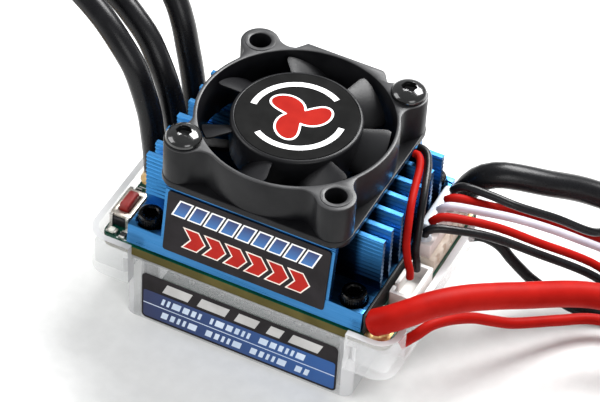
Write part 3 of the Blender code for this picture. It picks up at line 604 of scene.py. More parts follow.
ROUTES = {
    "motor_wire_1": [
        (-21.7, -1.4, 13.9), (-21.9, -1.3, 16.0), (-22.4, -0.9, 18.7), (-22.8, -0.8, 21.5),
        (-23.5, -0.5, 25.0), (-24.8, -0.3, 29.0), (-26.4, -0.1, 32.8), (-28.8, 0.3, 35.8),
        (-31.4, 1.0, 38.1), (-34.1, 1.8, 39.7), (-37.1, 2.8, 40.8), (-42.5, 5.4, 41.2),
        (-49.4, 8.0, 38.4), (-55.4, 9.8, 31.8), (-58.8, 10.2, 23.0), (-59.4, 9.6, 15.6),
        (-58.8, 7.8, 9.0), (-58.4, 4.0, 4.3), (-58.4, -1.2, 2.5), (-58.4, -3.9, 2.4),
    ],
    "motor_wire_2": [
        (-21.2, 3.6, 13.9), (-21.1, 3.7, 17.0), (-21.2, 3.6, 20.4), (-22.1, 4.1, 23.6),
        (-23.5, 4.8, 27.0), (-25.5, 5.5, 30.5), (-27.7, 6.4, 33.2), (-30.5, 7.2, 35.4),
        (-33.5, 8.2, 36.9), (-40.5, 11.0, 38.0), (-47.8, 13.6, 36.4), (-55.0, 14.8, 31.0),
        (-60.8, 14.2, 23.6), (-63.6, 12.4, 15.8), (-63.4, 9.0, 9.0), (-63.2, 4.0, 4.3),
        (-63.2, -1.2, 2.5), (-63.2, -3.9, 2.4),
    ],
    "motor_wire_3": [
        (-21.2, 8.4, 13.9), (-21.1, 8.7, 18.0), (-21.2, 9.3, 22.5), (-22.2, 10.2, 26.0),
        (-23.4, 11.0, 29.5), (-24.6, 11.7, 33.0), (-26.6, 12.7, 36.4), (-31.6, 15.0, 40.6),
        (-39.0, 17.4, 42.5), (-47.0, 19.0, 41.0), (-55.0, 19.4, 36.0), (-61.8, 18.6, 28.5),
        (-66.6, 16.4, 20.0), (-68.4, 13.0, 13.4), (-68.2, 9.0, 8.2), (-68.0, 4.0, 4.3),
        (-68.0, -1.2, 2.5), (-68.0, -3.9, 2.4),
    ],
    "battery_wire_red": [
        (20.6, -14.6, 16.0), (21.9, -14.3, 16.8), (23.4, -13.4, 17.5), (25.0, -12.0, 18.0),
        (26.8, -9.8, 18.2), (30.0, -5.9, 17.6), (33.0, -2.6, 16.6), (36.2, 0.7, 15.4),
        (44.4, 9.6, 11.5), (54.0, 13.6, 8.6), (63.5, 13.3, 6.0), (71.8, 9.6, 4.5),
        (77.2, 4.2, 3.9), (78.6, 0.9, 3.9), (78.6, -1.6, 3.9),
    ],
    "battery_wire_black": [
        (20.9, 14.9, 15.9), (21.4, 15.1, 17.6), (22.4, 15.5, 19.3), (23.8, 16.0, 20.5),
        (25.6, 16.8, 21.0), (28.0, 18.2, 20.5), (31.6, 20.6, 19.0), (37.2, 25.6, 15.5),
        (46.5, 29.6, 11.0), (57.0, 29.6, 6.0), (67.5, 25.6, 2.9), (76.5, 18.0, 2.1),
        (83.0, 9.5, 2.4), (85.2, 2.5, 3.7), (85.2, -1.6, 3.9),
    ],
    "capacitor_wire_red": [
        (23.5, -11.9, 10.4), (25.2, -10.0, 11.5), (26.5, -7.6, 12.0), (28.1, -4.4, 11.0),
        (30.3, -1.0, 9.3), (32.5, 1.2, 7.8), (35.1, 3.8, 6.2), (39.7, 9.0, 4.3),
        (43.9, 13.1, 3.0), (48.8, 14.8, 2.2), (53.6, 13.2, 2.6), (56.6, 9.2, 3.9),
        (57.2, 5.2, 4.5),
    ],
    "capacitor_wire_black": [
        (23.5, 12.6, 10.9), (25.4, 13.2, 11.3), (27.8, 14.0, 10.0), (29.9, 14.1, 8.0),
        (31.7, 14.4, 6.2), (33.8, 14.8, 4.4), (39.4, 15.0, 2.0), (42.9, 15.7, 1.5),
        (49.6, 17.6, 1.3), (56.6, 15.8, 2.1), (60.8, 10.4, 3.8), (61.4, 5.2, 4.5),
    ],
    "signal_wire_black": [
        (20.6, 11.5, 19.5), (20.7, 11.5, 20.2), (22.2, 12.0, 21.0), (25.9, 12.8, 20.4),
        (30.0, 14.1, 18.9), (34.8, 17.9, 15.5), (39.3, 22.1, 11.2), (41.2, 26.6, 8.6),
        (43.8, 31.4, 4.6), (48.2, 36.4, 1.4), (56.0, 40.8, 0.75), (65.0, 42.9, 0.75),
        (75.5, 42.0, 0.75), (84.0, 38.0, 0.75), (88.4, 33.0, 1.2), (89.0, 29.4, 1.5),
    ],
    "signal_wire_red": [
        (20.6, 9.3, 19.5), (20.7, 9.3, 20.1), (22.2, 10.1, 20.3), (25.7, 12.7, 18.3),
        (29.5, 15.5, 16.4), (34.4, 19.3, 13.0), (38.9, 23.2, 9.1), (42.8, 27.6, 4.9),
        (46.6, 32.2, 1.8), (51.6, 36.6, 0.8), (57.6, 39.2, 0.75), (65.0, 41.1, 0.75),
        (74.8, 40.2, 0.75), (82.4, 36.4, 0.75), (86.0, 32.6, 1.2), (86.5, 29.4, 1.5),
    ],
    "signal_wire_white": [
        (20.6, 6.9, 19.5), (20.7, 6.9, 20.2), (22.2, 7.7, 20.7), (27.0, 10.4, 19.3),
        (30.7, 12.5, 18.0), (35.4, 16.4, 14.5), (40.0, 20.3, 10.5), (44.6, 25.6, 5.2),
        (48.6, 30.6, 1.8), (53.4, 34.8, 0.8), (58.8, 37.4, 0.75), (65.0, 39.2, 0.75),
        (73.8, 38.4, 0.75), (80.6, 35.0, 0.75), (83.6, 32.2, 1.2), (84.0, 29.4, 1.5),
    ],
    "switch_wire_red": [
        (20.6, 4.1, 19.5), (20.7, 4.1, 20.2), (21.9, 4.9, 20.8), (24.4, 6.4, 20.2),
        (29.0, 9.5, 18.0), (33.9, 12.9, 14.5), (41.1, 18.2, 9.0), (47.5, 20.8, 4.0),
        (55.5, 22.6, 1.1), (63.0, 21.4, 0.75), (68.2, 15.8, 0.75), (70.4, 9.0, 0.75),
        (71.2, 2.8, 1.6), (71.3, -1.7, 2.4),
    ],
    "switch_wire_black": [
        (20.6, 1.6, 19.5), (20.7, 1.6, 20.1), (21.7, 2.3, 20.6), (23.9, 3.7, 20.2),
        (28.6, 7.2, 18.0), (34.6, 11.7, 13.5), (41.7, 17.0, 7.8), (48.4, 19.6, 2.7),
        (55.6, 20.3, 0.9), (61.9, 19.0, 0.75), (66.2, 14.2, 0.75), (68.4, 8.2, 0.75),
        (69.0, 2.4, 1.6), (69.1, -1.7, 2.4),
    ],
}


def on_curve(route, steps=12):
    """Close points on a smooth curve through all the route's points."""
    points = [Vector(point) for point in route]
    ends = [2 * points[0] - points[1], *points, 2 * points[-1] - points[-2]]
    fine = []
    for before, start, end, after in zip(ends, ends[1:], ends[2:], ends[3:]):
        for step in range(steps):
            t = step / steps
            pull = (end - before) * t
            bend = (2 * before - 5 * start + 4 * end - after) * t**2
            twist = (3 * start - before - 3 * end + after) * t**3
            fine.append(start + (pull + bend + twist) / 2)
    fine.append(points[-1])
    return fine


def evenly(route, spacing):
    """Points at equal distances along the smooth curve through a route."""
    fine = on_curve(route)
    reached = [0.0]
    for start, end in zip(fine, fine[1:]):
        reached.append(reached[-1] + (end - start).length)
    count = max(4, round(reached[-1] / spacing))
    points, at = [], 0
    for number in range(count + 1):
        wanted = reached[-1] * number / count
        while at < len(fine) - 2 and reached[at + 1] < wanted:
            at += 1
        share = (wanted - reached[at]) / (reached[at + 1] - reached[at])
        points.append(fine[at].lerp(fine[at + 1], share))
    return points


def wire(name, route, diameter, material, piece=None):
    """A smooth round wire along a route, as a curve with closed ends."""
    points = evenly(route, max(0.6, 0.35 * diameter))
    curve = bpy.data.curves.new(piece or name, "CURVE")
    curve.dimensions = "3D"
    curve.fill_mode = "FULL"
    curve.bevel_depth = diameter / 2 * MM
    curve.bevel_resolution = 5
    curve.use_fill_caps = True
    spline = curve.splines.new("POLY")
    spline.points.add(len(points) - 1)
    for point, place in zip(spline.points, points):
        point.co = (*(place * MM), 1.0)
    spline.use_smooth = True
    curve.materials.append(material)
    made = bpy.data.objects.new(piece or f"{name}_cord", curve)
    bpy.context.collection.objects.link(made)
    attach(made, BODY)
    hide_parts(name)
    return made, points


def make_rounded_end(name, route, diameter, material, slot):
    """The rounded end of a thick wire's insulation, where it meets the board."""
    start, after = Vector(route[0]), Vector(route[1])
    profile = [
        (diameter / 2 * math.cos(t), 0.3 * diameter * math.sin(t))
        for t in (math.radians(12 * i) for i in range(8))
    ]
    form = lathe([(diameter / 2, -0.1), *profile[:-1], (0.05, 0.3 * diameter)], 32)
    turn = (start - after).to_track_quat("Z", "Y").to_matrix().to_4x4()
    place = Matrix.Translation(start * MM) @ turn
    add_piece(name, placed(form, place), slot, material)


# For each kind of wire: its diameter, its far end, the node there and its stiffness.
CORDS = {
    "motor": (3.7, "connector", "motor_bullet", "medium"),
    "battery": (4.0, "plug", "battery_plug", "medium"),
    "capacitor": (1.7, "fitting", "capacitor_pack", "limp"),
    "signal": (1.3, "plug", "receiver_plug", "limp"),
    "switch": (1.3, "fitting", "switch_body", "limp"),
}
RUBBERS = {"black": SILICONE_BLACK, "red": SILICONE_RED, "white": SILICONE_WHITE}


def make_free_cords(ends):
    """Every free wire along its route; the far-end pieces that it is given are not used."""
    make_rounded_end(
        "battery_red_end", ROUTES["battery_wire_red"], CORDS["battery"][0], SILICONE_RED,
        "red_silicone",
    )
    for name, route in ROUTES.items():
        kind, _, colour = name.split("_")
        diameter, far_end, node, stiffness = CORDS[kind]
        if kind == "motor":
            node, colour = f"{node}_{colour}", "black"
        made, points = wire(name, route, diameter, RUBBERS[colour])


# ---- Fan ---------------------------------------------------------------------

FAN_LOW, FAN_HIGH = mm("fan_frame")
FAN_HALF = FAN_HIGH.x
FAN_HOLES = FAN_HALF * 0.8
LUG_CENTRES = [(x * FAN_HOLES, y * FAN_HOLES) for y in (-1, 1) for x in (-1, 1)]
FAN_TOP = FAN_HIGH.z
RING_TOP = FAN_TOP - 0.1
RING_RADIUS = 14.9
BORE_RADIUS = 14.3
LUG_RADIUS = 2.9
LUG_HOLE = 1.6
HUB_RADIUS = 9.65
REAR_BLOCK = [(7.1, 14.6), (6.6, 14.95), (-5.6, 14.95)]
MOTOR_SEAT = 8.2
BLADES = 7
BLADE_TIP = 13.6
FIRST_BLADE = 18.0
LABEL_RADIUS, ARC_OUTER, ARC_INNER = 9.0, 7.15, 6.25
ARC_STARTS, ARC_SPAN = (58, 238), 128


def fan_outline():
    """The shroud's ring, with a fillet on each side of its lugs and a flat rear block."""
    reach = FAN_HOLES * math.sqrt(2)
    fillet = 2.5
    to_fillet = RING_RADIUS + fillet
    beside = LUG_RADIUS + fillet
    swing = math.degrees(
        math.acos((reach**2 + to_fillet**2 - beside**2) / (2 * reach * to_fillet))
    )
    lug_turn = math.degrees(
        math.acos((reach**2 + beside**2 - to_fillet**2) / (2 * reach * beside))
    )
    points = []
    for turn in (45, 135, 225, 315):
        for side in (-1, 1):
            centre = polar(to_fillet, math.radians(turn + side * swing))
            ends = (turn + side * (swing - 180), turn - side * lug_turn)[::-side]
            points += arc(*centre, fillet, *ends, 7)
            if side < 0:
                lug = polar(reach, math.radians(turn))
                ends = (turn - 180 + lug_turn, turn + 180 - lug_turn)
                points += arc(*lug, LUG_RADIUS, *ends, 20)[1:-1]
        if turn == 45:
            points = points[:-3] + REAR_BLOCK
        else:
            points += arc(0, 0, RING_RADIUS, turn + swing, turn + 90 - swing, 18)[1:-1]
    return points


def rounded_level(form, height, width):
    """Rounds the sharp edges that lie at one height."""
    edges = [
        edge
        for edge in form.edges
        if all(abs(vert.co.z - height * MM) < 0.000001 for vert in edge.verts)
        and edge.calc_face_angle(0.0) > SHARP
    ]
    return bevelled(form, edges, width)


def flared_hole(x, y, radius, low, high, sides):
    """A cutter for a round hole whose mouth opens a little at its top."""
    profile = [
        (radius, low), (radius, high - 0.16), (radius + 0.05, high - 0.05),
        (radius + 0.16, high), (radius + 0.16, high + 1.0),
    ]
    return moved(lathe(profile, sides), x, y, 0.0)


def make_fan_frame():
    """The moulded shroud on its square foot, with the motor's seat on four arms."""
    foot_top = FAN_LOW.z + 1.4
    outline = rounded_rectangle(-FAN_HALF, FAN_HALF, -FAN_HALF, FAN_HALF, 3.0, 10)
    foot = rounded_level(flat_solid([outline], FAN_LOW.z, foot_top), foot_top, 0.15)
    foot = rounded_level(foot, FAN_LOW.z, 0.55)
    shroud = rounded_level(flat_solid([fan_outline()], FAN_LOW.z + 0.4, RING_TOP), RING_TOP, 0.16)
    collar = [(2.28, FAN_TOP - 1), (2.28, FAN_TOP - 0.05), (2.2, FAN_TOP)]
    collars = [moved(lathe(collar), x, y, 0) for x, y in LUG_CENTRES]
    form = in_turn("UNION", foot, shroud, *collars)
    bottom = FAN_LOW.z - 1
    bores = [flared_hole(x, y, LUG_HOLE, bottom, FAN_TOP, 48) for x, y in LUG_CENTRES]
    bores.append(flared_hole(0, 0, BORE_RADIUS, bottom, RING_TOP, 128))
    form = in_turn("DIFFERENCE", form, *bores)
    arms = [flat_solid([circle(0, 0, MOTOR_SEAT, 64)], FAN_LOW.z + 0.05, FAN_LOW.z + 0.9)]
    for number in range(4):
        arm = block((7.0, -0.9, FAN_LOW.z + 0.1), (14.6, 0.9, FAN_LOW.z + 0.8))
        arms.append(placed(arm, Matrix.Rotation(math.radians(90 * number + 20), 4, "Z")))
    form = in_turn("UNION", form, *arms)
    # Painted highlight: the upward faces at the top take the lighter plastic.
    for face in form.faces:
        on_top = face.calc_center_median().z / MM > RING_TOP - 0.3
        face.material_index = 1 if face.normal.z > 0.3 and on_top else 0
    add_piece(
        "fan_frame_moulding", form, "black_plastic", FAN_PLASTIC, FAN_TOP_HIGHLIGHT, stands_for=["fan_frame"]
    )


def blade_form(degrees):
    """One pitched blade: a smooth sheet, thickest in its middle."""
    top, sweep, span = FAN_TOP - 0.9, 0.6, 30.0
    across, along, root = 8, 14, HUB_RADIUS - 0.4
    rings = []
    for i in range(across + 1):
        radius = root + (BLADE_TIP - root) * i / across
        upper, lower = [], []
        for j in range(along + 1):
            part = j / along
            corner = 1.6 * max(0.0, radius - BLADE_TIP + 1) ** 2
            behind = corner + (span - 2 * corner) * part
            angle = math.radians(degrees + sweep * (radius - HUB_RADIUS) - behind)
            height = top - 0.06 * behind - 0.0022 * behind**2
            half = 0.14 + 0.24 * math.sqrt(max(0.0, part * (1 - part)) * 4) * (1.1 - 0.04 * i)
            upper.append((*polar(radius, angle), height + half))
            lower.append((*polar(radius, angle), height - half))
        rings.append([*upper, *reversed(lower)])
    return loft(rings)


def make_impeller():
    """The hub with its raised rim, and seven blades joined to it."""
    top = FAN_TOP - 0.2
    rim = arc(HUB_RADIUS - 0.5, top - 0.35, 0.5, 0, 90, 6)
    inner = [(8.7, 29.0), (8.7, 33.5), (0.05, 33.5)]
    outer = [(HUB_RADIUS, 29.0), *rim, (9.08, top + 0.12), (9.04, top), (0.05, top)]
    hub = lathe([*reversed(inner), *outer], 112)
    for number in range(BLADES):
        hub = united(hub, blade_form(FIRST_BLADE + 360 * number / BLADES))
    add_piece(
        "fan_hub_and_blades", hub, "black_plastic", BLADE_PLASTIC,
        body="fan_rotor", stands_for=["fan_impeller"],
    )


def make_hub_label():
    """A dark disc with two white arcs round a red three-bladed rotor, a plain fan mark."""
    low, high = mm("fan_hub_label")
    film = flat_solid([circle(0, 0, LABEL_RADIUS, 112)], low.z, high.z)
    add_piece(
        "hub_label_film", softened(film, 0.03, 1), "printed_label", HUB_FILM,
        body="fan_rotor", stands_for=["fan_hub_label"],
    )
    arcs = []
    for start in ARC_STARTS:
        end = start + ARC_SPAN
        arcs.append(arc(0, 0, ARC_OUTER, start, end, 40) + arc(0, 0, ARC_INNER, end, start, 40))
    petals = []
    for turn in turns(120):
        reach = 1.5 + 3.5 * (0.5 + 0.5 * math.cos(3 * turn)) ** 0.8
        petals.append(polar(reach, turn + 0.13 * reach))
    add_prints(
        "hub_label", Matrix(),
        (
            ("white", [*arcs, grown(petals, 0.32)], high.z - 0.01, high.z + 0.02, PRINT_WHITE),
            ("red", [petals], high.z, high.z + 0.04, HUB_RED),
        ),
        "fan_rotor",
    )


KNURLS = 34
HEX_START = 15


def make_fan_screws():
    """Two button-head screws with a domed head, a thin rim and a hexagon socket."""
    for name in ("fan_screw_front_left", "fan_screw_rear_right"):
        low, high = mm(name)
        x, y = (low.x + high.x) / 2, (low.y + high.y) / 2
        seat = high.z - 1.5
        dome = [
            (2.65 * math.cos(t) ** 0.9, seat + 0.3 + 1.2 * math.sin(t))
            for t in (math.radians(9 * i) for i in range(8))
        ]
        profile = [(0.95, low.z), (0.95, seat), (2.55, seat), (2.65, seat + 0.12)]
        profile += [*dome, (1.0, high.z - 0.01)]
        head = moved(lathe(profile, 56), x, y, 0.0)
        head = sunk(head, [circle(x, y, 1.2, 6, HEX_START)], seat + 0.45, high.z + 1)
        add_piece(
            f"{name}_turned", head, "black_steel", BLACK_GLOSS, stands_for=[name], bevel=0.06
        )


def knurled_head(x, y, radius, low, high):
    """A screw head with a straight knurl round it and plain chamfered ends."""
    rings = []
    for height, share, inset in (
        (low, 0.0, 0.12), (low + 0.2, 1.0, 0.0), (high - 0.45, 1.0, 0.0),
        (high - 0.36, 0.0, 0.07), (high - 0.14, 0.0, 0.07), (high, 0.0, 0.24),
    ):
        ring = []
        for i, turn in enumerate(turns(4 * KNURLS)):
            depth = share * (0.15 if i % 4 in (0, 1) else 0.0)
            ring.append((*polar(radius - inset - depth, turn, x, y), height))
        rings.append(ring)
    return loft(rings)


def make_heatsink_screws():
    """Four black socket-head screws with knurled heads."""
    for place in ("front_left", "front_right", "rear_left", "rear_right"):
        name = f"heatsink_screw_{place}"
        low, high = mm(name)
        x, y = (low.x + high.x) / 2, (low.y + high.y) / 2
        head = knurled_head(x, y, high.x - x, high.z - 2.4, high.z)
        head = sunk(head, [circle(x, y, 1.15, 6, HEX_START)], high.z - 1.3, high.z + 1)
        head = cut(head, moved(lathe([(1.05, -0.2), (1.45, 0.2)], 40), x, y, high.z))
        shaft = moved(lathe([(0.8, low.z), (0.8, high.z - 2.3)], 32), x, y, 0.0)
        form = united(head, shaft)
        add_piece(f"{name}_turned", form, "black_steel", BLACK_STEEL, stands_for=[name])


# ---- Heat sink ---------------------------------------------------------------

SINK_LOW, SINK_HIGH = mm("heatsink")
SINK_END = SINK_HIGH.x
SINK_FLOOR = SINK_LOW.z + 3.2
SINK_LEDGE = SINK_LOW.z + 3.4
FINS_Y = (-9.6, -6.9, -3.5, -0.2, 3.3, 6.8, 10.4)
FRONT_FOOT, FRONT_CREST = -16.0, -14.15
REAR_FOOT, REAR_CREST = 16.8, 14.95
PLATE_END = 13.5
SCREW_PLACES = [(x * 16.4, y) for y in (-13.2, 14.0) for x in (-1, 1)]


def at_screws(radius, sides):
    """A circle round each place where a screw holds the heat sink down."""
    return [circle(x, y, radius, sides) for x, y in SCREW_PLACES]


def fin_face(y, out):
    """Points up one face of a fin, with saw-tooth ridges along it."""
    low, high, count, depth = SINK_FLOOR + 1.6, SINK_HIGH.z - 0.4, 10, 0.3
    pitch = (high - low) / count
    points = [(y - out * depth, SINK_FLOOR), (y - out * depth, low)]
    for ridge in range(count):
        start = low + ridge * pitch
        points += [(y, start + 0.22 * pitch), (y, start + 0.42 * pitch)]
        points += [(y - out * depth, start + 0.9 * pitch), (y - out * depth, start + pitch)]
    points += [(y, high + 0.1), (y, SINK_HIGH.z - 0.12), (y - out * 0.12, SINK_HIGH.z)]
    return points


def sink_section():
    """The extrusion's section in Y and Z, clockwise from the front foot."""
    rise, lean = SINK_HIGH.z - SINK_LOW.z, FRONT_CREST - FRONT_FOOT
    rear_lean = REAR_FOOT - REAR_CREST

    def front(height, inset=0.0):
        return (FRONT_FOOT + inset + lean * (height - SINK_LOW.z) / rise, height)

    def rear(height, inset=0.0):
        return (REAR_FOOT - inset - rear_lean * (height - SINK_LOW.z) / rise, height)

    groove = 0.16
    points = [front(SINK_LOW.z, 0.15), front(SINK_LOW.z + 0.15)]
    for height in (SINK_HIGH.z - 0.62, SINK_HIGH.z - 0.3):
        points += [front(height - 0.08), front(height, groove), front(height + 0.1)]
    points += [front(SINK_HIGH.z - 0.1), front(SINK_HIGH.z, 0.1)]
    points += [front(SINK_HIGH.z, 1.0), front(SINK_FLOOR, 1.0)]
    for y in FINS_Y:
        points += fin_face(y - 0.5, -1)
        points += reversed(fin_face(y + 0.5, 1))
    points += [rear(SINK_FLOOR, 1.0), rear(SINK_HIGH.z, 1.0), rear(SINK_HIGH.z, 0.1)]
    points += [rear(SINK_HIGH.z - 0.1), rear(SINK_LOW.z + 0.15), rear(SINK_LOW.z, 0.15)]
    return points


def make_heatsink():
    """The extrusion, with a bay milled at each corner for its screw."""
    form = placed(flat_solid([sink_section()], -SINK_END, SINK_END), ALONG_X)
    bays = [
        block((side * PLATE_END, front, SINK_LEDGE), (side * (SINK_END + 1), back, 30.0))
        for front, back in ((-20.0, -10.9), (11.7, 20.0))
        for side in (-1, 1)
    ]
    form = cut(form, *bays)
    form = sunk(form, at_screws(2.2, 40), SINK_LEDGE - 1.0, 30.0)
    form = sunk(form, at_screws(1.1, 32), 10.0, 20.0)
    edges = [
        edge
        for edge in form.edges
        if edge.calc_face_angle(0.0) > math.radians(50)
        and edge.calc_length() > 0.6 * MM
        and max(vert.co.z for vert in edge.verts) < (SINK_LEDGE + 0.05) * MM
        and min(abs(vert.co.y) for vert in edge.verts) > 10.5 * MM
    ]
    form = bevelled(form, edges, 0.1)
    # Painted shade: the fins' sides between the plates take the darker fin tint.
    for face in form.faces:
        middle = face.calc_center_median() / MM
        deep = FRONT_CREST + 1.2 < middle.y < REAR_CREST - 1.2 and middle.z > SINK_FLOOR + 0.1
        if deep and abs(face.normal.y) > 0.2:
            face.material_index = 1
    add_piece(
        "heatsink_extrusion", form, "blue_anodised", BLUE_METAL, BLUE_SHADE,
        stands_for=["heatsink"],
    )


# ---- Labels ------------------------------------------------------------------


def slanted(x, low, high, width, lean):
    """A slanted bar, counter-clockwise from its lower left corner."""
    return [(x, low), (x + width, low), (x + width + lean, high), (x + lean, high)]


def chevron(x, low, high, width, point):
    middle = (low + high) / 2
    return [
        (x, low), (x + width, low), (x + width + point, middle),
        (x + width, high), (x, high), (x + point, middle),
    ]


def make_heatsink_label():
    """A dark film on the slanted plate: a row of blue bars over a row of red chevrons."""
    rise, lean = SINK_HIGH.z - SINK_LOW.z, FRONT_CREST - FRONT_FOOT
    long = math.hypot(rise, lean)
    bottom = 15.75
    foot_y = FRONT_FOOT + lean * (bottom - SINK_LOW.z) / rise
    out = Vector((0, -rise / long, lean / long))
    plate = Matrix(((1, 0, 0), (0, lean / long, rise / long), tuple(out))).transposed().to_4x4()
    plate = Matrix.Translation((Vector((0, foot_y, bottom)) + out * 0.1) * MM) @ plate
    height = (26.2 - bottom) * long / rise
    film = rounded_rectangle(-13.0, 13.0, 0.0, height, 0.45, 5)
    add_piece(
        "heatsink_label_film", placed(softened(flat_solid([film], 0.0, 0.12), 0.03, 1), plate),
        "printed_label", LABEL_FILM, stands_for=["heatsink_label"],
    )
    bars = [slanted(-11.8 + 2.55 * i, 6.85, 9.35, 1.75, 1.0) for i in range(9)]
    arrows = [chevron(-9.7 + 3.35 * i, 1.75, 5.0, 2.1, 1.15) for i in range(6)]
    add_prints("heatsink_label", plate, (
        ("bars_outline", [grown(bar, 0.24) for bar in bars], 0.11, 0.14, PRINT_WHITE),
        ("bars", bars, 0.12, 0.16, PRINT_BLUE),
        ("chevrons_outline", [grown(arrow, 0.2) for arrow in arrows], 0.11, 0.14, PRINT_PALE),
        ("chevrons", arrows, 0.12, 0.16, PRINT_RED),
    ))


def make_case_label():
    """A label on the case's front: silver bars on a dark band over two blue rows."""
    low, high = mm("case_label")
    face = standing(0.0, high.y, 0.0)
    left, right, bottom, top = low.x, high.x, low.z, high.z
    film = rounded_rectangle(left, right, bottom, top, 0.8)
    add_piece(
        "case_label_film", placed(softened(flat_solid([film], 0.0, 0.1), 0.03, 1), face),
        "printed_label", LABEL_FILM, stands_for=["case_label"],
    )
    silver = []
    for start, width in ((-12.6, 4.2), (-6.9, 4.6), (-0.8, 3.4), (4.4, 2.2), (8.0, 4.8)):
        silver.append(slanted(start, 7.15, 9.05, width, 0.8))
    blue_top, blue_low = 6.5, 1.05
    field = rounded_rectangle(left + 0.3, right - 0.3, blue_low, blue_top, 0.4)
    middle = (blue_top + blue_low) / 2
    line = rectangle(left + 0.3, right - 0.3, middle, middle + 0.14)
    ticks = []
    for row, bottom_edge, gap in ((0, middle + 0.75, 0.42), (1, middle - 2.05, 0.46)):
        x, number = left + 3.2, 0
        while x < right - 4.2:
            wide = (0.45, 1.0, 0.45, 0.7, 1.35)[(2 * number + row) % 5]
            ticks.append(slanted(x, bottom_edge, bottom_edge + 1.3, wide, 0.35))
            number += 1
            x += wide + gap + (1.1 if number % (6 - row) == 0 else 0.0)
    add_prints("case_label", face, (
        ("field", [field], 0.09, 0.12, PRINT_BAND),
        ("silver", silver, 0.09, 0.13, PRINT_SILVER),
        ("marks", [line, *ticks], 0.11, 0.14, PRINT_PALE_BLUE),
    ))


# ---- Case --------------------------------------------------------------------

CASE_LOW, CASE_HIGH = mm("case_tray")
BOARD_LOW, BOARD_HIGH = mm("power_board")
WALL = 1.0
BOX_LEFT, BOX_END, BOX_FRONT, BOX_REAR = -18.9, 18.1, -16.2, 16.8
BOX_TOP = BOARD_LOW.z - 0.2
RIM_BOTTOM, RIM_START = 8.0, 17.5


def make_case():
    """A clear moulding: a deep tray with a wider, higher rim round each board end."""
    rim_front, rim_rear, rim_end = CASE_LOW.y, CASE_HIGH.y, CASE_HIGH.x
    tray = flat_solid(
        [rounded_rectangle(BOX_LEFT, BOX_END, BOX_FRONT, BOX_REAR, 1.5)], 0.0, BOX_TOP
    )
    outline = rounded_rectangle(-rim_end, rim_end, rim_front, rim_rear, 3.4, 10)
    rim = flat_solid([outline], RIM_BOTTOM, CASE_HIGH.z)
    openings = [
        block((-RIM_START, rim_front - 1, 7), (RIM_START, BOX_FRONT, 20)),
        block((-RIM_START, BOX_REAR, 7), (RIM_START, rim_rear + 1, 20)),
        block((-RIM_START, -17.0, BOX_TOP), (RIM_START, 17.6, 20)),
    ]
    form = united(tray, in_turn("DIFFERENCE", rim, *openings))
    inner = inset_rectangle(-BOX_END, BOX_END, BOX_FRONT, BOX_REAR, WALL, 0.8)
    form = sunk(form, [inner], WALL, 20)
    rim_inner = inset_rectangle(-rim_end, rim_end, rim_front, rim_rear, WALL, 2.4, 10)
    form = sunk(form, [rim_inner], BOX_TOP, 20)
    for sign in (-1, 1):
        ends = sorted((sign * BOX_END, sign * (rim_end - WALL)))
        well = rounded_rectangle(*ends, rim_front + WALL, rim_rear - WALL, 0.8)
        form = sunk(form, [well], RIM_BOTTOM + WALL, BOX_TOP + 1)
    form = united(form, flat_solid(at_screws(1.5, 32), WALL / 2, BOX_TOP))
    form = sunk(form, at_screws(1.0, 24), 4.0, 20)
    for y in (-10.9, 13.1):
        form = cut(form, block((rim_end - 1.6, y - 2.1, 9.3), (rim_end + 1, y + 2.1, 20)))
    # Painted highlight: the rim's top faces, the end faces of its openings and the box's rounded
    # corners take the lip tint.
    for face in form.faces:
        middle = face.calc_center_median() / MM
        lip = face.normal.z > 0.9 and middle.z > BOX_TOP - 0.1
        end_face = abs(face.normal.x) > 0.9 and abs(abs(middle.x) - RIM_START) < 0.05
        corner = min(abs(face.normal.x), abs(face.normal.y)) > 0.12
        on_box = max(abs(vert.co.x) for vert in face.verts) < (0.05 - BOX_LEFT) * MM
        if lip or end_face or (corner and on_box):
            face.material_index = 1
    # The bevels take the dark line tint, a painted reflection.
    case = add_piece(
        "clear_case", form, "clear_polycarbonate", CLEAR, CLEAR_LIP_HIGHLIGHT, CLEAR_DARK_REFLECTION, CLEAR_EDGE_HIGHLIGHT,
        stands_for=["case_tray"], bevel=0.2, edge=2,
    )
    # Painted highlight: the bevels along the bottom take the white edge tint.
    for face in case.data.polygons:
        if face.material_index == 2 and face.center.z < 0.3 * MM:
            face.material_index = 3


# ---- Boards ------------------------------------------------------------------


def chip(x, y, foot, wide, deep, tall, ends):
    """A small part on a board: a dark body between two tinned ends."""
    parts = [softened(slab(x, y, wide, deep, foot, foot + tall), 0.05, 1)]
    half, top = wide / 2 + 0.02, foot + tall + 0.02
    for side in (-1, 1):
        outer, inner = y + side * (deep / 2 + 0.03), y + side * (deep / 2 - ends)
        cap = block((x - half, outer, foot), (x + half, inner, top))
        parts.append(painted(softened(cap, 0.04, 1), 1))
    return gathered(parts)


def solder_mound(x, y, foot, wide, tall, top):
    """A cone of solder that climbs a wire, hollow-sided, slightly uneven."""
    rings = []
    for step in range(9):
        part = step / 8
        radius = top + (wide - top) * (1 - part) ** 2.1
        ring = []
        for turn in turns(40):
            wave = noise.noise(Vector((*polar(2, turn, x, y), part)))
            ring.append((*polar(radius * (1 + 0.07 * wave), turn, x, y), foot + tall * part))
        rings.append(ring)
    return loft(rings)


TRANSISTORS = [f"power_transistor_{number}" for number in range(1, 7)]


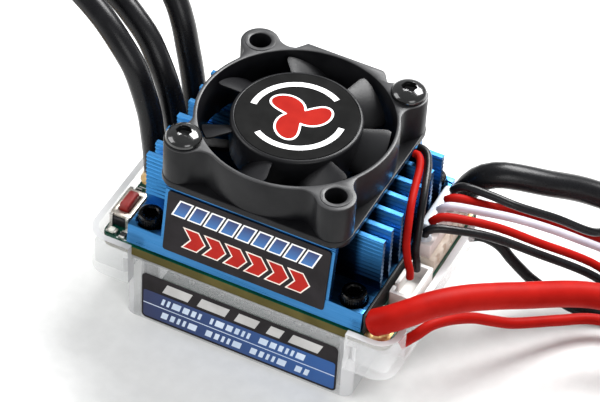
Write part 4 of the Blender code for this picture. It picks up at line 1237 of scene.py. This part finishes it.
def make_power_board():
    """The upper board: green above and below, bare at its edge, with its copper."""
    outline = rounded_rectangle(
        BOARD_LOW.x, BOARD_HIGH.x, BOARD_LOW.y, BOARD_HIGH.y, 1.8, 10
    )
    form = flat_solid([outline, *at_screws(1.1, 32)], BOARD_LOW.z, BOARD_HIGH.z)
    for face in form.faces:
        face.material_index = 0 if abs(face.normal.z) > 0.7 else 1
    add_piece(
        "power_board_laminate", form, "circuit_board", MASK_GREEN, BOARD_EDGE,
        stands_for=["power_board"],
    )
    top = BOARD_HIGH.z
    left, right = BOARD_LOW.x, BOARD_HIGH.x
    pads = [
        rounded_rectangle(*edges, 0.3)
        for edges in (
            (left + 0.25, -19.1, -3.6, 1.0), (left + 0.25, -19.1, 1.5, 5.9),
            (left + 0.25, -19.1, 6.4, 10.8), (left + 0.5, -20.0, 12.6, 15.4),
            (19.3, right - 0.3, -15.7, -11.2), (19.3, right - 0.3, 12.6, 16.2),
        )
    ]
    form = flat_solid(pads, top - 0.02, top + 0.05)
    add_piece("power_board_pads", form, "gold_plating", TIN_TAN)
    strokes = [
        rectangle(*edges)
        for edges in (
            (-23.05, -21.9, -14.0, -13.85), (-23.05, -22.9, -14.0, -11.9),
            (-20.9, -19.3, -15.4, -15.25), (-20.9, -19.3, -14.2, -14.05),
            (-23.0, -19.4, -6.7, -6.5), (-23.0, -19.4, -4.4, -4.25),
            (22.85, 23.0, -9.2, -0.8),
        )
    ]
    form = flat_solid(strokes, top - 0.02, top + 0.03)
    add_piece("power_board_print", form, "white_plastic", PRINT_WHITE)
    parts = [
        chip(x, y, top, *size)
        for x, y, *size in (
            (-20.1, -14.75, 0.9, 1.5, 0.5, 0.35), (-22.6, -5.6, 0.8, 1.3, 0.4, 0.3),
            (-21.2, -5.5, 0.8, 1.3, 0.4, 0.3), (-19.9, -5.6, 0.8, 1.3, 0.35, 0.3),
            (-22.4, 14.0, 0.9, 1.6, 0.5, 0.35), (-19.8, 13.2, 0.8, 1.3, 0.4, 0.3),
            (19.5, -9.7, 0.6, 1.0, 0.3, 0.25),
        )
    ]
    add_piece("power_board_parts", gathered(parts), "chip_plastic", CHIP_PLASTIC, TIN)
    mounds = [
        painted(solder_mound(x, y, top, *size), tan)
        for x, y, *size, tan in (
            (-21.7, -1.4, 2.4, 1.7, 1.87, 1), (-21.2, 3.6, 2.3, 1.7, 1.87, 0),
            (-21.2, 8.4, 2.3, 1.7, 1.87, 1), (20.9, -14.0, 1.9, 0.5, 1.3, 1),
            (21.2, 14.5, 1.9, 0.5, 1.3, 1),
        )
    ]
    add_piece("solder_joints", gathered(mounds), "bright_steel", TIN, TIN_TAN)


def make_lower_board():
    """Fine parts round the processor on the lower board, seen through the clear case."""
    high = mm("control_board")[1]
    centre = sum(mm("microcontroller"), Vector()) / 2
    long, thin, levels = 0.84, 0.24, (high.z + 0.02, high.z + 0.16)
    legs = []
    for number in range(10):
        offset = -2.7 + 0.6 * number
        for reach in (-3.9, 3.9):
            legs.append(slab(centre.x + reach, centre.y + offset, long, thin, *levels))
            legs.append(slab(centre.x + offset, centre.y + reach, thin, long, *levels))
    add_piece("processor_legs", gathered(legs), "bright_steel", TIN)
    small = [
        chip(-12.5 + 2.5 * column, y, high.z, 0.8, 1.5, 0.5, 0.35)
        for y in (-11.5, 6.0)
        for column in range(11)
    ]
    add_piece("control_board_parts", gathered(small), "chip_plastic", CHIP_PLASTIC, TIN)


def make_transistor_legs():
    """A row of tinned legs on each of the six flat transistors."""
    for name in TRANSISTORS:
        low, high = mm(name)
        legs = [
            slab(low.x + 0.75 + 1.22 * leg, low.y - 0.26, 0.4, 0.48, high.z - 0.25, high.z)
            for leg in range(4)
        ]
        add_piece(f"{name}_legs", gathered(legs), "bright_steel", TIN)


def make_button():
    """A low push button: black body, metal cover with tinned, folded legs, red cap."""
    low, high = mm("button_base")
    body = softened(block(low, high), 0.12)
    add_piece("button_body", body, "chip_plastic", DARK_PLASTIC, stands_for=["button_base"])
    low, high = mm("button_cover")
    window = rounded_rectangle(-22.5, -20.5, -12.3, -8.3, 0.25)
    outline = rounded_rectangle(low.x, high.x, low.y, high.y, 0.3)
    form = flat_solid([outline, window], low.z, high.z)
    foot = BOARD_HIGH.z
    folds = (
        (0.12, 0.34, foot + 0.04, high.z - 0.1), (-0.3, 0.34, high.z - 0.12, high.z - 0.02),
        (0.12, 0.9, foot + 0.03, foot + 0.2),
    )
    legs = [
        block((x, y + side * near, bottom), (x + 0.5, y + side * far, top))
        for x in (low.x + 0.05, high.x - 0.55)
        for y, side in ((low.y, -1), (high.y, 1))
        for near, far, bottom, top in folds
    ]
    add_piece(
        "button_frame", form, "bright_steel", BUTTON_METAL, stands_for=["button_cover"], bevel=0.1
    )
    add_piece("button_legs", softened(gathered(legs), 0.03, 1), "bright_steel", TIN)
    low, high = mm("button_cap")
    rings = []
    for z, pull in ((low.z, 0.0), (high.z - 0.3, 0.03), (high.z - 0.12, 0.09), (high.z, 0.26)):
        outline = inset_rectangle(low.x, high.x, low.y, high.y, pull, 0.35)
        rings.append([(*point, z) for point in outline])
    add_piece(
        "button_red_cap", loft(rings), "red_plastic", RED_CAP,
        body="button", stands_for=["button_cap"],
    )


def make_led():
    low, high = mm("status_led")
    lens = softened(block((low.x + 0.35, low.y, low.z), (high.x - 0.35, high.y, high.z)), 0.12)
    ends = [
        painted(block((x, low.y, low.z), (x + 0.33, high.y, high.z - 0.15)), 1)
        for x in (low.x, high.x - 0.33)
    ]
    form = gathered([lens, *ends])
    add_piece("status_light", form, "led_lens", LED_LENS, TIN, stands_for=["status_led"])


# ---- Connectors on the board -------------------------------------------------

FAN_WIRE = 1.16
FAN_ROUTES = {
    "red": [
        (15.4, 7.7, 28.2), (16.0, 7.6, 28.3), (16.8, 6.7, 28.3), (17.5, 4.9, 28.1),
        (18.3, 1.8, 28.0), (19.25, -1.6, 27.65), (20.0, -3.8, 26.1), (20.5, -5.2, 23.7),
        (21.1, -5.8, 21.3), (21.7, -5.9, 19.3), (21.8, -5.9, 17.9),
    ],
    "black": [
        (15.4, 9.3, 28.1), (16.1, 9.2, 28.2), (17.2, 8.4, 28.2), (18.4, 6.0, 28.1),
        (19.6, 2.4, 27.7), (20.6, -0.8, 26.3), (21.2, -2.7, 24.0), (21.5, -3.8, 21.5),
        (21.9, -4.0, 19.4), (22.0, -4.0, 17.9),
    ],
}


def make_fan_lead():
    """The fan's two wires, their white plug and the header that it sits in."""
    for colour, route in FAN_ROUTES.items():
        name = f"fan_wire_{colour}"
        made, _ = wire(name, route, FAN_WIRE, RUBBERS[colour], piece=f"{name}_insulated")
    low, high = mm("fan_header")
    outer = rounded_rectangle(low.x, high.x, low.y, high.y, 0.25)
    inner = inset_rectangle(low.x, high.x, low.y, high.y, 0.6, 0.15)
    form = sunk(flat_solid([outer], low.z, high.z), [inner], low.z + 0.6, high.z + 1)
    slots = [
        block((low.x - 1, y, high.z - 1.4), (low.x + 1, y + 0.6, high.z + 1))
        for y in (low.y + 1.5, high.y - 2.1)
    ]
    form = cut(form, *slots)
    add_piece(
        "fan_header_shell", form, "white_plastic", WHITE_PLASTIC, stands_for=["fan_header"],
        bevel=0.08,
    )
    low, high = mm("fan_plug")
    plug = block(low, high)
    over = high.z + 1
    wells = []
    for x, y, _ in (route[-1] for route in FAN_ROUTES.values()):
        wells.append(block((x - 0.75, y - 0.8, high.z - 1.1), (high.x + 0.5, y + 0.8, over)))
    wells.append(block((low.x - 1, low.y + 0.8, high.z - 0.5), (low.x + 0.55, high.y - 0.8, over)))
    plug = cut(plug, *wells)
    ribs = [
        block((low.x - 0.05, y - 0.25, low.z + 0.8), (low.x + 0.3, y + 0.25, high.z))
        for y in (low.y + 0.5, high.y - 0.5)
    ]
    plug = united(plug, *ribs)
    add_piece(
        "fan_plug_shell", plug, "white_plastic", WHITE_PLASTIC, stands_for=["fan_plug"], bevel=0.08
    )


def make_wire_block():
    """A beige header and its pinkish plug, milky glue on their wires, and a dark strip by the heat
    sink's end.
    """
    low, high = mm("wire_block")
    split = low.z + 2.4
    foot_end = high.x + 0.7
    base = block(low, (foot_end, high.y, split))
    rows = [low.y + 1.5 + 2.3 * number for number in range(5)]
    grooves = [slab(foot_end + 0.35, y, 1.3, 0.9, low.z + 0.6, split + 1) for y in rows]
    base = cut(base, *grooves)
    add_piece("lead_header", base, "white_plastic", BEIGE_PLASTIC, bevel=0.12)
    plug = block(
        (low.x + 0.15, low.y + 0.15, split - 0.05), (high.x - 0.2, high.y - 0.15, high.z - 0.5)
    )
    add_piece(
        "lead_plug", plug, "white_plastic", PINKISH_PLASTIC, stands_for=["wire_block"], bevel=0.2
    )
    glue = softened(block((19.1, low.y + 2.4, split), (20.75, high.y - 0.1, 20.2)), 0.55, 3)
    for x, y, size in (
        (20.7, 11.3, 1.0), (20.8, 9.3, 0.95), (20.6, 6.9, 1.0), (20.7, 4.2, 1.05),
        (20.7, 1.8, 0.95), (20.2, 10.4, 0.9), (20.3, 5.5, 0.8),
    ):
        bead = bmesh.new()
        bmesh.ops.create_icosphere(bead, subdivisions=3, radius=size * MM)
        for vert in bead.verts:
            lump = noise.noise(vert.co * 900 + Vector((x, y, 0)))
            vert.co *= 1 + 0.16 * lump
            vert.co.z *= 0.8
        glue = united(glue, moved(bead, x, y, high.z - 0.55))
    add_piece("glue_beads", glue, "white_plastic", MILKY_PLASTIC)
    # A dark strip by the heat sink's right end, where the dark is partly shade on that end face.
    strip = softened(block((19.05, -15.5, BOARD_HIGH.z + 0.03), (19.42, -1.0, 17.5)), 0.1)
    add_piece("dark_end_strip", strip, "chip_plastic", DARK_STRIP)


# ---- Ends of the free leads --------------------------------------------------


def make_motor_bullets():
    """Gold bullet plugs: a solder cup, a waist and a springy slotted barrel."""
    made = {}
    for number in (1, 2, 3):
        x, start, height = ROUTES[f"motor_wire_{number}"][-1]
        profile = [
            (1.6, 0.0), (2.15, -0.15), (2.3, -0.45), (2.3, -3.4), (2.05, -3.6), (1.7, -3.8),
            (1.7, -4.4), (1.8, -4.7), (2.05, -6.6), (2.12, -8.3), (2.05, -10.0),
            (1.82, -11.6), (1.8, -12.1), (1.6, -12.9), (1.2, -13.2),
        ]
        form = lathe(profile, 40)
        slots = [
            placed(block((-0.14, 1.0, -12.3), (0.14, 3.0, -5.0)), Matrix.Rotation(turn, 4, "Z"))
            for turn in (math.radians(45 + 90 * i) for i in range(4))
        ]
        form = cut(form, *slots)
        form = cut(form, block((-0.9, 1.2, -2.4), (0.9, 3.0, -0.9)))
        turn = Matrix.Rotation(-math.pi / 2, 4, "X")
        form = moved(placed(form, turn), x, start - 0.3, height)
        name = f"motor_bullet_{number}"
        made[name] = add_piece(
            f"{name}_turned", form, "gold_plating", GOLD, stands_for=[name], bevel=0.04
        )
    return made


def make_battery_plug():
    """A red two-pole plug with a polarity rib, grip ridges and gold sockets."""
    low, high = mm("battery_plug")
    form = block(low, high)
    centres = [ROUTES[f"battery_wire_{colour}"][-1] for colour in ("red", "black")]
    cutters = []
    for x, _, z in centres:
        for radius, reach, y in ((1.8, 4.0, low.y + 1.6), (2.15, 1.0, high.y)):
            hole = placed(lathe([(radius, -reach), (radius, reach)], 40), standing())
            cutters.append(moved(hole, x, y, z))
    for number in range(6):
        y = low.y + 5.4 + 1.2 * number
        for height in (low.z - 0.5, high.z - 0.35):
            cutters.append(block((low.x + 1.4, y, height), (high.x - 1.4, y + 0.6, height + 0.85)))
    cutters.append(block((81.2, low.y - 1, high.z - 0.9), (82.6, low.y + 3.6, high.z + 1)))
    form = cut(form, *cutters)
    plug = add_piece(
        "battery_plug_shell", form, "red_plastic", RED_PLASTIC, stands_for=["battery_plug"],
        bevel=0.3,
    )
    contacts = []
    for x, _, z in centres:
        sleeve = lathe([(1.45, -3.4), (1.45, 3.4), (1.15, 3.55)], 32)
        ring = cut(sleeve, lathe([(1.05, -1.0), (1.05, 5.0)], 32))
        contacts.append(moved(placed(ring, standing()), x, low.y + 4.2, z))
    add_piece("battery_plug_contacts", gathered(contacts), "gold_plating", GOLD)
    return plug


def make_capacitor_pack():
    """Two capacitors side by side in one black shrunk sleeve, with its puckered ends."""
    low, high = mm("capacitor_pack")
    middle = (low + high) / 2
    wide, tall = (high.x - low.x) / 2, (high.z - low.z) / 2
    rings = []
    for part, inset in (
        (0.0, 1.5), (0.012, 1.05), (0.03, 0.75), (0.05, 0.3), (0.08, 0.08), (0.14, 0.02),
        (0.3, 0.1), (0.5, 0.05), (0.7, 0.1), (0.86, 0.02), (0.92, 0.08), (0.95, 0.35),
        (0.97, 0.85), (0.988, 1.15), (1.0, 1.6),
    ):
        y = low.y + (high.y - low.y) * part
        ring = []
        for c, s in circle(0, 0, 1, 72):
            waist = 0.22 * math.exp(-((c / 0.18) ** 2))
            x = (wide - inset) * math.copysign(abs(c) ** 0.62, c)
            z = (tall - inset - waist) * math.copysign(abs(s) ** 0.72, s)
            crease = 1 + 0.012 * noise.noise(Vector((x * 1.4, y * 0.5, z * 1.4)))
            ring.append((middle.x + x * crease, y, middle.z + z * crease))
        rings.append(ring)
    form = loft(rings)
    return add_piece(
        "capacitor_sleeve", form, "black_plastic", SHRINK_BLACK, stands_for=["capacitor_pack"]
    )


RECEIVER_PINS = [ROUTES[f"signal_wire_{colour}"][-1][0] for colour in ("white", "red", "black")]


def make_receiver_plug():
    """A three-pin servo plug with contact windows and a keying rib."""
    low, high = mm("receiver_plug")
    form = block(low, high)
    cutters = []
    for x in RECEIVER_PINS:
        cutters.append(block((x - 0.5, low.y - 1, 1.0), (x + 0.5, low.y + 6.2, 2.0)))
        cutters.append(block((x - 0.55, low.y + 2.6, 2.2), (x + 0.55, low.y + 5.8, high.z + 1)))
        cutters.append(block((x - 0.75, high.y - 2.0, 0.7), (x + 0.75, high.y + 1, 2.3)))
    for inner, outer in ((low.x + 0.35, low.x - 1), (high.x - 0.35, high.x + 1)):
        cutters.append(block((inner, low.y - 1, high.z - 0.5), (outer, high.y - 3, high.z + 1)))
    form = cut(form, *cutters)
    plug = add_piece(
        "receiver_plug_shell", form, "black_plastic", DARK_PLASTIC, stands_for=["receiver_plug"],
        bevel=0.12,
    )
    pins = [
        softened(block((x - 0.38, low.y + 1.2, 1.1), (x + 0.38, low.y + 5.9, 1.35)), 0.05, 1)
        for x in RECEIVER_PINS
    ]
    add_piece("receiver_plug_contacts", gathered(pins), "gold_plating", GOLD)
    return plug


def make_switch():
    """A slide switch in a small shell, with a ribbed slider."""
    low, high = mm("switch_body")
    form = cut(block(low, high), block((68.6, -13.6, 4.0), (71.8, -6.4, 9.0)))
    cutters = []
    for y in (low.y - 0.4, high.y - 1.9):
        for x in (low.x - 0.6, high.x - 0.6):
            cutters.append(block((x, y, 1.6), (x + 1.2, y + 2.3, 9.0)))
    form = cut(form, *cutters)
    body = add_piece(
        "switch_shell", form, "black_plastic", DARK_PLASTIC, stands_for=["switch_body"], bevel=0.22
    )
    low, high = mm("switch_slider")
    knob = block(low, high)
    grooves = []
    for number in range(4):
        y = low.y + 0.75 + 0.85 * number
        grooves.append(block((low.x - 1, y, high.z - 0.45), (high.x + 1, y + 0.35, high.z + 1)))
    knob = cut(knob, *grooves)
    add_piece(
        "switch_knob", knob, "black_plastic", FAN_PLASTIC, body="slider",
        stands_for=["switch_slider"], bevel=0.1,
    )
    return body


def make_far_ends():
    """The piece on the end of every free wire, by its node's name."""
    return {
        **make_motor_bullets(),
        "battery_plug": make_battery_plug(),
        "capacitor_pack": make_capacitor_pack(),
        "receiver_plug": make_receiver_plug(),
        "switch_body": make_switch(),
    }


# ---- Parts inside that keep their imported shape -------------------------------

FINISHES = {
    "control_board": MASK_GREEN, "board_header": DARK_PLASTIC, "microcontroller": CHIP_PLASTIC,
    **dict.fromkeys(TRANSISTORS, CHIP_PLASTIC),
    "thermal_pad": PAD_GREY, "fan_shaft": STEEL, "fan_magnet_ring": MAGNET,
    "fan_bearing_sleeve": BRONZE, "fan_circuit_board": MASK_GREEN, "fan_stator": COPPER,
}


def dress_inside():
    """Gives the parts inside their finishes, and the stator its windings."""
    for node, finish in FINISHES.items():
        NODES[node].data.materials.clear()
        NODES[node].data.materials.append(finish)
    loop = rounded_rectangle(-1.9, 1.9, 28.98, 32.62, 0.6, 4)
    for number in range(4):
        coil = [flat_solid([loop], 3.75 + 0.44 * i, 4.14 + 0.44 * i) for i in range(4)]
        turn = Matrix.Rotation(math.radians(90 * number), 4, "Z") @ ALONG_X
        form = placed(softened(gathered(coil), 0.1, 2), turn)
        add_piece(f"stator_winding_{number + 1}", form, "copper_winding", COPPER)


make_camera()
make_lights()
make_floor()
make_free_cords(make_far_ends())
make_case()
make_case_label()
make_power_board()
make_lower_board()
make_transistor_legs()
make_button()
make_led()
make_heatsink()
make_heatsink_label()
make_heatsink_screws()
make_fan_frame()
make_impeller()
make_hub_label()
make_fan_screws()
make_fan_lead()
make_wire_block()
dress_inside()
